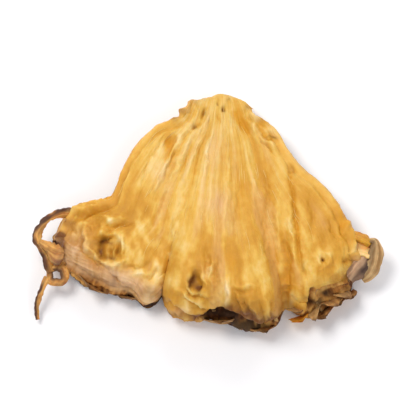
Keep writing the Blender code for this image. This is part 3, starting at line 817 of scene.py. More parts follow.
@dataclass(frozen=True)
class Relief:
    """Fibres, billows, wrinkles, folds and scales over the form."""

    ropes: Fibres = Fibres(31, 21, 26, 0.0)
    cords: Fibres = Fibres(32, 47, 13, 5.0)
    threads: Fibres = Fibres(33, 120, 8, 9.0)
    rope_depth: float = 0.27
    cord_depth: float = 0.12
    thread_depth: float = 0.022
    streak_depth: float = 0.30
    billow_depth: float = 0.62
    pleat_depth: float = 0.55
    crumple_depth: float = 0.30
    hem_rise: float = 0.40
    hem_dip: float = 0.35
    lip_rise: float = 0.35
    lip_tuck: float = 1.5
    scale_step: float = 2.1
    scale_depth: float = 0.40
    bark_grain: float = 0.14
    bark_knobs: float = 0.7
    # Where the fibres stand out more
    fibre_zones: Zones = Zones((
        (-8, -13, 6, 10, 0.55), (2, -14, 5, 8, 0.35), (-3, -38, 7, 6, 0.35), (9.5, -36, 3, 4, -0.4),
        (24, -33, 8, 9, -0.2), (-26, -34, 6, 5, -0.25),
    ))
    # Where the skin is crumpled: the shoulders of the tip, the left lobe, below the slit, and the right end
    crumple_zones: Zones = Zones((
        (-8, -3.6, 3.6, 2.6, 1.4), (8.6, -4.4, 3.2, 2.6, 1), (-28.5, -27.6, 6, 3.4, 1.3),
        (-25, -34, 2.4, 2.4, 0.6), (1, -46, 8, 2.6, 0.8), (28.5, -34, 3.5, 6, 0.7), (-31, -36, 4, 4, 0.4),
        (0, -1, 5, 2, 0.6), (-27, -31, 8, 7, 0.8), (-9.6, -47.6, 3.6, 2.6, 1.3), (23, -38, 6, 5, 0.35),
    ))
    # Width, height, and x and y of each point
    folds: tuple[tuple[float, ...], ...] = (
        # the tip: its pits, the ridges that fan out from it, a valley on each side and lumpy shoulders
        (0.45, -1.1, 0.7, -1.8, 0.8, -2.5, 0.9, -3.3), (0.3, -0.42, -0.7, -0.7, -0.4, -1.7),
        (0.5, -0.77, -2.9, -2, -3.8, -3.3, -4.3, -4.8), (0.6, -0.77, -4.5, -5.4, -5.4, -6.6, -6.1, -7.8),
        (0.4, -0.51, -0.5, -3.6, -0.1, -4.8, -0.2, -6.6), (0.5, 0.42, 1.7, -3.2, 2.2, -5.6, 2.6, -9.4),
        (0.45, 0.51, -1.9, -3.4, -3.7, -5.9, -5.2, -9),
        (0.5, 0.58, -7.2, -6.6, -9.3, -10.4, -11.2, -13.8, -13.6, -18.4, -15.8, -23),
        (0.45, -0.42, -7.2, -8.4, -9.2, -11.8, -11.6, -16, -13.4, -20),
        (0.5, 0.5, -5.6, -7.4, -7.4, -11, -9.4, -15, -11.8, -20),
        (0.45, -0.36, -5.6, -9.4, -7.3, -13.4, -9.2, -18),
        (0.5, 0.4, -3.2, -6.4, -5.1, -11.2, -6.8, -16, -8.2, -22),
        (0.45, -0.3, -3, -8.8, -4.6, -13.6, -5.6, -18), (0.45, 0.42, -1.6, -7, -2.8, -12.4, -3.8, -19),
        (0.9, -0.6, -8.7, -5.6, -10.2, -9, -11.2, -11.6, -12.4, -14.8),
        (0.9, 1.05, -4.6, -0.8, -7.3, -2.5, -9.4, -4), (0.4, -0.51, -5.8, -2.4, -8.2, -4.8),
        (0.7, 0.51, -9.4, -5, -11.2, -6.8),
        (0.45, -0.51, -11.4, -8.4, -14.4, -12, -16.8, -17.4, -18, -21.6),
        (0.5, 0.42, -15, -9.4, -18.4, -13.4, -20.8, -18.6, -22.2, -22.8),
        (1.1, -0.94, 3.6, -2.8, 5, -5.8, 6.4, -8.8),
        (0.5, 0.59, 5.4, -2.4, 7.4, -5.4, 8, -8.4, 9.3, -11.4),
        (0.8, 0.59, 8.4, -5.6, 10.6, -7.6, 13.2, -10), (0.35, -0.77, 8.8, -7.4, 10.8, -8.9, 13, -10.4),
        (0.4, 0.51, 9.2, -9, 11.2, -10.2, 13, -11.4), (0.35, -0.51, 9.2, -9.8, 11.4, -11.6, 13.2, -13),
        # the long creases on the right, and soft ribs down the middle
        (0.55, -1.1, 16.6, -16, 15.6, -18.6, 15.6, -22, 16.5, -27, 17, -33, 17.9, -38.2, 18.6, -40.2),
        (0.8, -0.9, 14.4, -31.4, 15, -36.5, 14.8, -41, 14.4, -46.4),
        (0.9, 0.7, 12.8, -21, 12.6, -28, 13.3, -35, 13.2, -43),
        (0.6, 0.5, 15, -21, 15.5, -28, 15.9, -35, 16.6, -40), (0.5, -0.5, 19.8, -21, 20.6, -27, 20.2, -33),
        (0.5, -0.5, 10.4, -14, 10.6, -21, 9.8, -28, 10.7, -36.6),
        (0.7, 0.4, 1.2, -10, 1.6, -18, 1, -27, 0.4, -35), (0.6, -0.4, 3.4, -12, 4.2, -21, 3.6, -30),
        (0.7, 0.4, 6, -11, 7.2, -19, 7.4, -28), (0.6, 0.4, -7.6, -20, -9.4, -28, -10, -36),
        (0.6, -0.4, -11.6, -20, -14.2, -27, -16, -33),
        # the slit, the ribs beside it, the smiling wrinkles below it, and those round the lower bulge
        (0.5, -0.63, -5.3, -37.8, -5.6, -40.6, -5.2, -43.2), (0.4, -0.77, -5.9, -39.6, -6.2, -42.3),
        (0.4, -0.98, -5.1, -41, -4.5, -43.5), (0.45, 0.56, -4.2, -37.6, -3.8, -40.4, -3.2, -42.4),
        (0.35, -0.56, -2.9, -32.6, -3.1, -36.6, -3, -40.4),
        (0.45, 0.56, -2.1, -35.6, -2.3, -38.6, -2, -42.6), (0.35, -0.56, -1, -34.2, -1, -39, -1.1, -43.6),
        (0.5, 0.35, 0.1, -36.6, 0.1, -41.4, 0.1, -45),
        (0.5, 0.85, -7.6, -41.2, -6.8, -42.8, -5.1, -43.5, -3.4, -43.6, -1.8, -45),
        (0.35, -0.7, -8, -42.6, -6.6, -43.9, -4.8, -44.5, -2.4, -45.3),
        (0.45, 0.77, -9.4, -43.2, -7.8, -44.9, -5.6, -45.6, -2.6, -46, -0.6, -46.4),
        (0.35, -0.7, -9.6, -44.6, -7.6, -45.9, -4.6, -46.5, -1.6, -46.9),
        (0.45, 0.7, -10.8, -44.4, -8.8, -46.6, -6, -47.6, -3.2, -47.9),
        (0.35, -0.63, -11.4, -45.2, -9.2, -47.4, -6.2, -48.6),
        (0.4, 0.56, -11.4, -46.4, -9.4, -48.4, -7.4, -49.4),
        (0.6, 0.91, 1.2, -40.6, 1.7, -43.2, 1.9, -46.2), (0.4, -0.7, 2.4, -42.2, 4.6, -43.5, 7.4, -43),
        (0.4, 0.5, 3.4, -41.6, 5.4, -42.4, 7.8, -41.9), (0.4, -0.63, 2.9, -43.2, 4, -45.8, 4.4, -47.8),
        (0.45, 0.63, 3.9, -44, 5.2, -46.4, 6, -48.6), (0.4, -0.77, 4.8, -44.6, 6.2, -47.4, 7.4, -50),
        (0.5, 0.63, 6.2, -44.4, 7.6, -47.2, 8.6, -50.2), (0.4, -0.63, 8.2, -44.6, 9.2, -47.6, 9.8, -50.4),
        (0.5, 0.5, 9.6, -44, 10.6, -47.4, 11, -49.8), (0.4, -0.56, 11.2, -45, 12, -48.6),
        # the left lobe: its pocket, the arc round it and the folds above it
        (0.55, 0.8, -27.6, -30.2, -25, -31.2, -22.6, -30.4),
        (0.6, 0.57, -26.9, -30, -26.2, -30.9, -25.4, -30.4), (0.45, -0.8, -24.6, -29.6, -23.6, -31),
        (0.5, -1.49, -28.6, -31.8, -26, -32.5, -22.8, -31.9),
        (0.4, -1.03, -26.3, -32.4, -26.3, -34.4, -26, -36.6),
        (0.4, 0.69, -25.1, -32.8, -25.2, -34.4, -24.8, -36.2), (0.35, -0.92, -24.5, -34.2, -24.2, -36.6),
        (0.35, 0.69, -23.6, -33.4, -23.4, -36), (0.4, -0.92, -22.7, -33.2, -22.5, -36.2),
        (0.55, 1.03, -22.4, -31, -21.7, -33.4, -21.1, -36.4),
        (0.6, 1.6, -30.2, -28.2, -29.9, -31.5, -28.6, -34.6, -26.8, -36.6),
        (0.55, 1.3, -27.4, -36.2, -24.2, -37.7, -20.6, -36.8),
        (0.6, -0.8, -31.4, -31, -30.4, -34.6, -28.2, -37.2, -25, -38.8),
        (0.5, -1.6, -32.8, -27.8, -29.2, -26.1, -27.4, -25.4, -24, -25.2),
        (0.6, 1.3, -32.6, -25.8, -29, -24.7, -25, -24.3),
        (0.5, -1.03, -25.6, -28.9, -22.6, -28.9, -19.4, -28.4),
        (0.6, 0.69, -26.6, -27.2, -24, -27.6, -21, -27.2),
        (0.45, 0.69, -31.4, -28.2, -28.9, -28.8, -28.4, -30.6),
        (0.45, -0.69, -29.4, -27.6, -27.4, -28, -27.2, -29.8),
        (0.4, -0.8, -34.6, -29.8, -32.8, -29.4, -31.4, -30.6),
        (0.5, -0.69, -24.6, -38.8, -23, -40.4, -22.6, -42.2),
        (0.5, 0.57, -19.6, -39.8, -16.4, -39.4, -14.2, -38.6),
        (0.4, -0.57, -21, -38.4, -17.6, -38, -14.8, -36.6), (0.4, -0.57, -15.6, -41, -13.2, -38.2),
        # the right lobe: a ring round a small hole, a rolled edge and dents towards the end
        (0.4, -1.3, 22.7, -35.6, 22.9, -36.5),
        (0.55, 0.6, 21.2, -35.4, 22, -37.3, 23.7, -37.4, 24.4, -35.8, 23.2, -34.5, 21.6, -35),
        (0.4, -0.7, 24.2, -27.4, 25.2, -30, 26.6, -32.6),
        (0.45, -0.8, 26.6, -26.6, 26.9, -30, 28.2, -33.2),
        (0.7, 0.7, 27.4, -26.4, 27.8, -30.4, 28.8, -33.2), (0.6, -0.6, 26.8, -36.2, 29.6, -37.2),
        (0.5, -0.5, 17, -42, 18.2, -43.4, 18.6, -45.4),
    )

    def read(self, at: Places, marks: dict[str, Array], start: Array, amber: Zones) -> Array:
        """Works out the height of the relief, and marks that follow it.

        Args:
            at: The places.
            marks: The marks; "ridge", "groove" and "bark" are added to them.
            start: How far past the edge of the face the rind starts.
            amber: Clear, deep amber places.

        Returns:
            The height in millimetres.
        """
        x, y = at.view
        bend = 0.016 * at.blots(21, 8, 8) + 0.005 * at.blots(22, 2.4, 2.4)
        above, rind = 1 - at.under, marks["rind"]
        flesh, calm = 1 - rind, 1 - 0.2 * marks["beige"]
        patch = 0.5 + 0.5 * at.blots(23, 5, 8, 3.1)
        fibres = self.fibres(at, at.across + bend, patch) * flesh * calm
        streaks = Noise(58).ridges(at.angle / 9, at.beyond / 1.3, 2.0, 3) * marks["beige"]
        fibres = fibres + self.streak_depth * (streaks * ease(-12.0, -16.0, at.angle)) * above * flesh
        radius = at.share * FORM.slice_radius
        pleats = self.pleat_depth * Noise(42).layers((at.across + bend) * 11, radius / 22, 2.0, 2)
        pleats = pleats * ease(0.05, 0.25, at.share) * flesh
        sheet = (self.billow_depth * at.lumps(41, 8) * flesh + pleats) * (1 - 2 * at.under)
        hem = self.hem_rise * bell((at.side - 1.1) / 0.6) - self.hem_dip * bell((at.side - 2.3) / 0.5)
        hem = hem * (0.4 + 1.2 * patch) * ease(0.10, 0.2, at.share) * flesh * above
        crumple = self.crumple(at, marks["edge"]) * flesh * calm
        bent = x + 12 * bend + 0.8 * at.blots(45, 2, 2, count=3), y + 0.8 * at.blots(46, 2, 2, count=3)
        heights = [Fold(row).relief(*bent) for row in self.folds]
        folded = sum(heights, np.zeros(x.shape)) * above * (1 - 0.6 * rind)
        grooved = -sum((np.minimum(height, 0) for height in heights), np.zeros(x.shape))
        crest = fibres + 0.5 * pleats + 0.8 * crumple + 0.6 * folded + 0.6 * hem
        # Painted light: the ridge mark makes the colour paler on crests, as painted highlight, and darker in
        # valleys, as painted shade
        marks["ridge"] = np.clip(0.5 + 0.85 * crest, 0, 1)
        # Painted shade: the groove mark darkens the folds' valleys, and carries the clear deep amber places
        # too
        marks["groove_shade_and_amber"] = np.clip(0.9 * (grooved - 0.25) + amber.at(*bent), 0, 1) * above * flesh
        bark, marks["bark"] = self.bark(at)
        height = fibres + sheet + hem + crumple + folded + bark * rind + self.lip(at, start) * above
        return height * np.maximum(ease(0.0, 1.2, at.ring[..., 2]), 0.15 * above)

    def fibres(self, at: Places, fibre_at: Array, patch: Array) -> Array:
        """Works out the fibres of all three sizes.

        Args:
            at: The places.
            fibre_at: Share of the way across, bent a little.
            patch: Where they are coarser, 0 to 1.

        Returns:
            Their height.
        """
        radius = at.share * FORM.slice_radius
        fine = 0.5 + 0.5 * at.blots(24, 2.5, 4, 1.1)
        strength = np.clip(0.32 + 0.75 * self.fibre_zones.at(*at.view), 0.08, 1.2) * ease(0.0, 0.05, at.share)
        coarse = self.rope_depth * self.ropes.at(fibre_at, radius) * (0.4 + patch)
        coarse = coarse + self.cord_depth * self.cords.at(fibre_at, radius) * (0.3 + 1.2 * fine)
        return coarse * strength + self.thread_depth * self.threads.at(fibre_at, radius) * (0.3 + fine)

    def crumple(self, at: Places, edge: Array) -> Array:
        """Works out the fine wrinkles.

        Args:
            at: The places.
            edge: The mark of the browned edges.

        Returns:
            Their height.
        """
        x, y = at.view
        creased = Noise(43).ridges(x / 2.3, y / 2.3, at.ring[..., 2] / 3, 3)
        crumpled = 0.12 + 0.5 * edge + 0.3 * ease(0.55, 0.85, at.share) + self.crumple_zones.at(x, y)
        crumpled = crumpled + 0.4 * ease(0.05, 0.0, at.share)
        return self.crumple_depth * creased * np.clip(crumpled, 0, 1.5)

    def lip(self, at: Places, start: Array) -> Array:
        """Works out the swollen lip of flesh above the rind, and the tuck under it.

        Args:
            at: The places.
            start: How far past the edge of the face the rind starts.

        Returns:
            Its height.
        """
        past = at.beyond - start
        tucked = ease(-15.0, -9.0, at.angle) * ease(12.0, 8.0, at.angle)
        tucked = tucked + 0.1 + 0.3 * ease(-16.0, -12.0, at.angle)
        return (self.lip_rise * bell((past + 0.8) / 0.7) - self.lip_tuck * bell((past - 1.8) / 1.4)) * tucked

    def bark(self, at: Places) -> tuple[Array, Array]:
        """Works out the overlapping scales of the rind.

        Args:
            at: The places.

        Returns:
            Their height, and how pale they are from 0 to 1.
        """
        warp = Noise(50).layers(at.angle / 6, at.beyond / 4, at.under, 3)
        layer = at.beyond / self.scale_step + 0.9 * warp
        layer = layer + 0.25 * Noise(55).layers(at.angle / 1.5, at.beyond / 2, at.under, 2)
        step = np.floor(layer)
        overlap = layer - step
        tone = Noise(56).at(step * 3.7, at.angle / 4.5 + step * 1.3, at.under)
        splinters = Noise(52).ridges(at.angle / 0.9 + 3 * warp, at.beyond / 5, at.under + 3, 2)
        grit, knobs = at.lumps(53, 0.8), at.lumps(57, 2.2)
        bark = self.scale_depth * ease(0.0, 0.85, overlap) * ease(1.0, 0.9, overlap)
        bark = bark + self.bark_grain * splinters + self.bark_grain * grit
        shade = 0.5 + 0.35 * tone + 0.18 * (overlap - 0.5) + 0.16 * splinters + 0.2 * grit + 0.5 * knobs
        return bark + self.bark_knobs * knobs - 0.35, np.clip(shade, 0, 1)


# --- The body of flesh and rind ---


@dataclass(frozen=True)
class Skin:
    """The body's displaced surface: a closed ring of points for each fibre across the fan."""

    points: Array
    normals: Array
    radius: Array
    marks: dict[str, Array]
    outer_rows: int

    def follow(self, across: Array, row: Array, lift: Array) -> Array:
        """Finds points on or above the surface.

        Args:
            across: Share of the way across the fan.
            row: Row of the ring, which may be between two.
            lift: Height above the surface.

        Returns:
            The points.
        """
        column = across * (len(self.points) - 1)
        i = np.clip(np.floor(column).astype(int), 0, len(self.points) - 2)
        j = np.clip(np.floor(row).astype(int), 0, self.points.shape[1] - 2)
        s, t = (column - i)[..., None], (row - j)[..., None]
        point, normal = (
            (grid[i, j] * (1 - t) + grid[i, j + 1] * t) * (1 - s)
            + (grid[i + 1, j] * (1 - t) + grid[i + 1, j + 1] * t) * s for grid in (self.points, self.normals)
        )
        return point + normal * lift[..., None]


@dataclass(frozen=True)
class FleshBody:
    """The fan of flesh and the wall of rind, as one closed skin."""

    columns: int = 392
    face_rows: int = 128
    rim_rows: int = 38
    wall_rows: int = 24
    under_rows: int = 24
    corner_rows: int = 8
    inside_rows: int = 6
    tip_rows: int = 9
    side_rows: int = 5
    tip_bulge: float = 0.2
    lowest: float = 0.02
    far_beyond: float = 30.0
    marks: Marks = Marks()
    relief: Relief = Relief()

    def skin(self) -> Skin:
        """Works out the displaced surface.

        Returns:
            The surface, with its marks.
        """
        across = np.linspace(0, 1, self.columns)[:, None]
        outer = FORM.outer_chain(across, self.face_rows, self.rim_rows, self.wall_rows)
        inner = FORM.inner_chain(across, self.under_rows, self.corner_rows, self.inside_rows)
        outer, inner = FORM.placed(across, *outer), FORM.placed(across, *inner)
        ring = np.concatenate([outer, inner[:, ::-1], self.tip(outer[:, :1], inner[:, :1])], axis=1)
        outer_rows = outer.shape[1]
        radius = np.hypot(ring[..., 0] - FORM.middle_x, ring[..., 1] - FORM.tip_y)
        under = np.zeros(ring.shape[:2])
        under[:, outer_rows : -self.tip_rows] = 1
        share = np.clip(radius / FORM.rim_radius(across), 0, 1.05)
        share[:, -self.tip_rows :] = 0
        steps = np.linalg.norm(np.diff(outer, axis=1), axis=2)
        way = np.concatenate([np.zeros((self.columns, 1)), np.cumsum(steps, axis=1)], axis=1)
        beyond = np.full(ring.shape[:2], self.far_beyond)
        beyond[:, :outer_rows] = way - way[:, self.face_rows - 1 : self.face_rows]
        beyond[:, -self.tip_rows :] = beyond[:, :1]
        at = Places(across, ring, share, beyond, under)
        marks = self.marks.read(at)
        height = self.relief.read(at, marks, self.marks.start(at), self.marks.amber_zones)
        normal = self.normals(ring)
        ring = ring + normal * height[..., None]
        ring[..., 2] = np.maximum(ring[..., 2], self.lowest)
        return Skin(ring, normal, radius, marks, outer_rows)

    def tip(self, top: Array, foot: Array) -> Array:
        """Rows of the blunt end of the tip, from its foot up.

        Args:
            top: The row along its upper edge.
            foot: The row along its lower edge.

        Returns:
            The rows between the two, which bulge a little.
        """
        share = (np.arange(1, self.tip_rows + 1) / (self.tip_rows + 1))[None, :, None]
        outward = np.cross((0, 0, 1), np.gradient(top, axis=0))
        outward /= np.linalg.norm(outward, axis=-1, keepdims=True) + TINY
        return foot + (top - foot) * share + outward * self.tip_bulge * arch(share)

    def normals(self, ring: Array) -> Array:
        """Works out the outward directions of the sheet of rings.

        Args:
            ring: The rings' points.

        Returns:
            A direction for each point.
        """
        sideways = np.gradient(ring, axis=0)
        along = (np.roll(ring, -1, axis=1) - np.roll(ring, 1, axis=1)) / 2
        normal = np.cross(along, sideways)
        normal /= np.linalg.norm(normal, axis=-1, keepdims=True) + TINY
        upward = normal[self.columns // 2, self.face_rows // 2, 2] > 0
        return normal if upward else -normal

    def build(self, skin: Skin) -> Piece:
        """Joins the rings and rounds off the two cut sides.

        Args:
            skin: The displaced surface.

        Returns:
            The piece, with its marks and its UV map.
        """
        columns, rows = skin.points.shape[:2]
        numbers = np.arange(columns * rows).reshape(columns, rows)
        faces = []
        for row in range(rows):
            here, after = numbers[:, row], numbers[:, (row + 1) % rows]
            strip = np.stack([here[:-1], after[:-1], after[1:], here[1:]], axis=1)
            faces += [tuple(quad) for quad in strip.tolist()]
        points = [skin.points.reshape(-1, 3)]
        marks = {name: [values.ravel()] for name, values in skin.marks.items()}
        across = np.linspace(0, 1, columns)[:, None] + 0 * skin.radius
        along, across = [skin.radius.ravel()], [across.ravel()]
        offset = columns * rows
        for column, side in ((0, -1), (columns - 1, 1)):
            offset = self.close_side(skin, numbers[column], column, side, offset, points, faces, marks)
            for side_row in range(1, self.side_rows + 1):
                depth = side_row / (self.side_rows + 1)
                along.append(skin.radius[column, : skin.outer_rows])
                across.append(np.full(skin.outer_rows, 0.0 if side < 0 else 1.0) - side * 0.02 * depth)
        faces = [tuple(int(number) for number in face) for face in faces]
        piece = mesh_from("fan_of_flesh", np.concatenate(points), faces)
        paint(piece, {name: np.concatenate(values) for name, values in marks.items()})
        unwrap(piece, np.concatenate(along) / UV_SIZE, np.concatenate(across))
        return piece

    def close_side(
        self, skin: Skin, numbers: Array, column: int, side: int, offset: int,
        points: list[Array], faces: list[tuple[int, ...]], marks: dict[str, list[Array]],
    ) -> int:
        """Closes one cut side with rows of torn flesh.

        Args:
            skin: The displaced surface.
            numbers: Point numbers of the ring at the side.
            column: That ring's number.
            side: -1 for the left side, 1 for the right.
            offset: Number of the next new point.
            points: The body's points, which the new ones are added to.
            faces: The body's faces, likewise.
            marks: The body's marks, likewise.

        Returns:
            The number of the point after the new ones.
        """
        rows = skin.outer_rows
        outer, inner = skin.points[column, :rows], skin.points[column, rows:][::-1]
        above, below = numbers[:rows], numbers[rows:][::-1]
        reach, along = self.lengths(outer), self.lengths(inner)
        mate = np.stack([np.interp(reach, along, inner[:, axis]) for axis in range(3)], axis=1)
        gap = np.linalg.norm(outer - mate, axis=1, keepdims=True)
        away = outer - skin.points[column - side, :rows]
        away /= np.linalg.norm(away, axis=1, keepdims=True) + TINY
        ends = arch(np.clip(np.linspace(0, 1, rows), 0.02, 0.98))[:, None] ** 0.2
        for side_row in range(1, self.side_rows + 1):
            depth = side_row / (self.side_rows + 1)
            shreds = Noise(61).layers(reach * 40, depth * 1.6, side, 3)
            shreds = shreds + 0.7 * Noise(62).ridges(reach * 22, depth * 4, side, 2)
            bulge = (0.32 * gap + 0.5 * shreds[:, None]) * 4 * depth * (1 - depth)
            middle = outer + (mate - outer) * depth + away * ends * bulge
            points.append(middle)
            level = offset + np.arange(rows)
            offset += rows
            for row in range(rows - 1):
                faces.append((above[row], above[row + 1], level[row + 1], level[row]))
            faces.append((above[0], level[0], below[0]))
            faces.append((above[-1], below[-1], level[-1]))
            above = level
            for name, values in skin.marks.items():
                worn = values[column, :rows]
                if name == "edge":
                    worn = np.maximum(worn, 0.55 + 0.4 * shreds)
                elif name in ("ridge", "tone"):
                    worn = np.clip(worn + 0.5 * shreds, 0, 1)
                marks[name].append(worn)
        faces += self.zipped(level, self.lengths(middle), below, along)
        return offset

    @staticmethod
    def lengths(chain: Array) -> Array:
        """Share of the way along a chain of points."""
        way = np.concatenate([[0.0], np.cumsum(np.linalg.norm(np.diff(chain, axis=0), axis=1))])
        return way / way[-1]

    @staticmethod
    def zipped(first: Array, first_at: Array, second: Array, second_at: Array) -> list[tuple[int, ...]]:
        """Joins two chains of different counts.

        Args:
            first: Point numbers of the first chain.
            first_at: Share of the way along it of each point.
            second: Point numbers of the second chain.
            second_at: Share of the way along it of each point.

        Returns:
            The triangles between them.
        """
        faces, i, j = [], 0, 0
        while i < len(first) - 1 or j < len(second) - 1:
            if j == len(second) - 1 or (i < len(first) - 1 and first_at[i + 1] <= second_at[j + 1]):
                faces.append((first[i], first[i + 1], second[j]))
                i += 1
            else:
                faces.append((first[i], second[j + 1], second[j]))
                j += 1
        return faces


# --- Scales and strips ---


class Look(Enum):
    """What a scale or a strip is made of."""

    SKIN = "dry skin"
    FLESH = "rolled flesh"
    PALE = "pale flesh"
    WEB = "grey rind"
    RIND = "curled rind"
    SCALE = "dry scale"
    CHAFF = "papery chaff"

    def depths(self) -> tuple[float, float, float]:
        """Depth of a strip's ribs and of its lumps, and how frilly its edges are."""
        return {Look.SKIN: (0.10, 0.26, 0.9), Look.RIND: (0.13, 0.16, 0.2)}.get(self, (0.12, 0.36, 0.5))


@dataclass(frozen=True)
class RindScale:
    """A dry, pointed scale that grows up the rind and curls outwards."""

    name: str
    angle: float
    root: float
    length: float
    half_width: float
    lean: float
    curl: float
    turn: float
    seed: int
    look: Look = Look.SCALE
    bluntness: float = 3.2
    thickness: float = 0.62
    sink: float = 0.55
    cup: float = 0.20
    rib_height: float = 0.09
    wave_height: float = 0.45
    steps: int = 44
    points: int = 31

    def build(self) -> Piece:
        """Builds the scale, ribbed along its length and torn at its edge.

        Returns:
            The piece.
        """
        along = np.linspace(0, 1, self.steps)[:, None]
        beside = np.linspace(-1, 1, self.points)[None, :]
        bend = np.radians(self.lean + self.curl * along)
        out = self.length * np.cumsum(np.sin(bend), axis=0) / self.steps
        up = self.length * np.cumsum(np.cos(bend), axis=0) / self.steps
        torn = 1 + 0.22 * Noise(self.seed).layers(along * 5, np.sign(beside) * 3.0, 1.0, 3)
        width = (self.half_width * (1 - along**self.bluntness) ** 0.6 + 0.15) * torn
        frayed = Noise(self.seed + 3).layers(beside * 3.2, 0 * beside, 2.0, 3)
        ragged = 1 + 0.16 * frayed * ease(0.3, 1.0, along)
        ribs = Noise(self.seed + 1).ridges(beside * 4.5, along * 1.3, 0.0, 2)
        wave = Noise(self.seed + 2).layers(beside * 1.2, along * 2.4, 4.0, 2)
        side = width * beside
        out, up = out * ragged, up * ragged
        out = out - self.cup * width * beside**2 + self.wave_height * wave * ease(0.1, 0.5, along)
        thick = self.thickness * (1 - 0.6 * along) * (1 - 0.75 * beside**2)
        face = 0.5 * thick + self.rib_height * ribs * (1 - beside**4)
        front = np.stack([out + face * np.cos(bend), side, up - face * np.sin(bend)], axis=-1)
        back = np.stack([out - 0.5 * thick * np.cos(bend), side, up + 0.5 * thick * np.sin(bend)], axis=-1)
        piece = swept(self.name, self.placed(np.concatenate([front, back[:, ::-1]], axis=1)))
        there_and_back = list(range(self.points)) + list(range(self.points))[::-1]
        length = (along + 0 * beside)[:, there_and_back]
        spread = (beside + 0 * along)[:, there_and_back]
        ridge = np.concatenate([0.5 + 0.5 * ribs, 0.5 + 0 * ribs], axis=1)
        burnt = 0.6 * ease(0.75, 1.0, length) * (0.5 + ridge)
        paint(piece, {"ridge": np.clip(ridge, 0, 1), "burnt": np.clip(burnt, 0, 1)})
        unwrap(piece, length * self.length / UV_SIZE, spread * self.half_width / UV_SIZE)
        return piece

    def placed(self, ring: Array) -> Array:
        """Turns the scale and sets it on the rind.

        Args:
            ring: Its points, as (out, beside, up) from its root.

        Returns:
            The points in space.
        """
        turned, heading = math.radians(self.turn), math.radians(self.angle)
        side = ring[..., 1] * math.cos(turned) + ring[..., 2] * math.sin(turned)
        rise = ring[..., 2] * math.cos(turned) - ring[..., 1] * math.sin(turned)
        left_rim, right_rim = FORM.sides_at(1.0)
        across = np.array([[(self.angle - left_rim) / (right_rim - left_rim)]])
        radius = FORM.wall_outside(across, 0.75)[0, 0] - self.sink + ring[..., 0]
        x = radius * math.sin(heading) + side * math.cos(heading)
        y = -radius * math.cos(heading) + side * math.sin(heading)
        return np.stack([x + FORM.middle_x, y + FORM.tip_y, np.maximum(rise + self.root, 0.1)], axis=-1)


@dataclass(frozen=True)
class Strip:
    """A strip along a smooth line; each knot is x, y, z, tilt in degrees, half width, half thickness."""

    name: str
    look: Look
    knots: tuple[tuple[float, ...], ...]
    seed: int
    steps: int = 96
    burnt_side: float = 0.0
    sides: int = 28

    def build(self) -> Piece:
        """Builds the strip, ribbed along its length and crinkled.

        Returns:
            The piece.
        """
        track = through(np.array(self.knots, float), self.steps)
        middle = track[:, :3] + (FORM.middle_x, FORM.tip_y, 0)
        along = np.gradient(middle, axis=0)
        along /= np.linalg.norm(along, axis=1)[:, None]
        sideways = np.cross(along, (0, 0, 1))
        sideways /= np.linalg.norm(sideways, axis=1)[:, None]
        upright = np.cross(sideways, along)
        tilt = np.radians(track[:, 3:4])
        wide = upright * np.cos(tilt) + sideways * np.sin(tilt)
        thin = np.cross(wide, along)
        turn = np.linspace(0, 2 * np.pi, self.sides, endpoint=False)[None, :]
        length = np.concatenate([[0], np.cumsum(np.linalg.norm(np.diff(middle, axis=0), axis=1))])[:, None]
        ribs = Noise(self.seed).ridges(np.cos(turn) * 2.4 + 5, length / 5, np.sin(turn) * 1.2, 2)
        lumps = Noise(self.seed + 1).layers(np.cos(turn) * 0.8 + 3, length / 1.6, np.sin(turn) * 0.8, 3)
        rib_depth, lump_depth, frill = self.look.depths()
        swell = rib_depth * ribs + lump_depth * lumps
        half_width, half_thickness = track[:, 4:5], track[:, 5:6]
        width = half_width * (1 + frill * Noise(self.seed + 2).layers(length / 2.4, np.cos(turn), 0.0, 3))
        beside = (np.cos(turn) * (width + swell * 0.5))[..., None] * wide[:, None]
        over = (np.sin(turn) * (half_thickness + swell))[..., None] * thin[:, None]
        rings = middle[:, None] + beside + over
        rings[..., 2] = np.maximum(rings[..., 2], 0.1)
        piece = swept(self.name, rings)
        patchy = 0.8 + 1.4 * Noise(self.seed + 3).layers(length / 3, np.cos(turn), 0.0, 2)
        burnt = abs(self.burnt_side) * ease(-0.1, 0.8, np.sign(self.burnt_side) * np.cos(turn)) * patchy
        paint(piece, {"ridge": np.clip(0.5 + 0.5 * ribs, 0, 1), "burnt": np.clip(burnt, 0, 1)})
        unwrap(piece, length / UV_SIZE + 0 * turn, turn / ROUND_UV + 0 * length)
        return piece


@dataclass(frozen=True)
class SkinRing:
    """The small ring of skin where the loop ends."""

    x: float = -36.2
    y: float = -43.0
    z: float = 4.4
    radius: float = 1.6
    half_width: float = 1.0
    half_thickness: float = 0.65
    rib_height: float = 0.08
    look: Look = Look.SKIN
    steps: int = 72
    sides: int = 24

    def build(self) -> Piece:
        """Builds the ring, a little uneven.

        Returns:
            The piece.
        """
        around = np.linspace(0, 2 * np.pi, self.steps, endpoint=False)[:, None]
        turn = np.linspace(0, 2 * np.pi, self.sides, endpoint=False)[None, :]
        x, y = np.cos(around), np.sin(around)
        ribs = Noise(71).ridges(x * 1.4, y * 1.4, np.cos(turn) * 1.5, 2)
        uneven = 0.86 + 0.2 * Noise(72).layers(x * 1.1, y * 1.1, np.sin(turn), 2)
        halves = self.half_thickness, self.half_width
        thick, wide = (half * uneven + self.rib_height * ribs for half in halves)
        out = self.radius * (1 + 0.25 * Noise(73).at(x * 1.5, y * 1.5)) + wide * np.cos(turn)
        rings = np.stack([
            self.x + FORM.middle_x + out * x,
            self.y + FORM.tip_y + out * y,
            self.z + thick * np.sin(turn) + 0 * around], axis=-1)
        piece = swept("skin_ring", rings, joined=True)
        burnt = 0.9 * ease(0.2, -0.7, np.cos(turn)) + 0 * around
        paint(piece, {"ridge": np.clip(0.5 + 0.5 * ribs, 0, 1), "burnt": burnt})
        unwrap(piece, around / ROUND_UV + 0 * turn, turn / ROUND_UV + 0 * around)
        return piece


# --- Pieces grown by Geometry Nodes ---


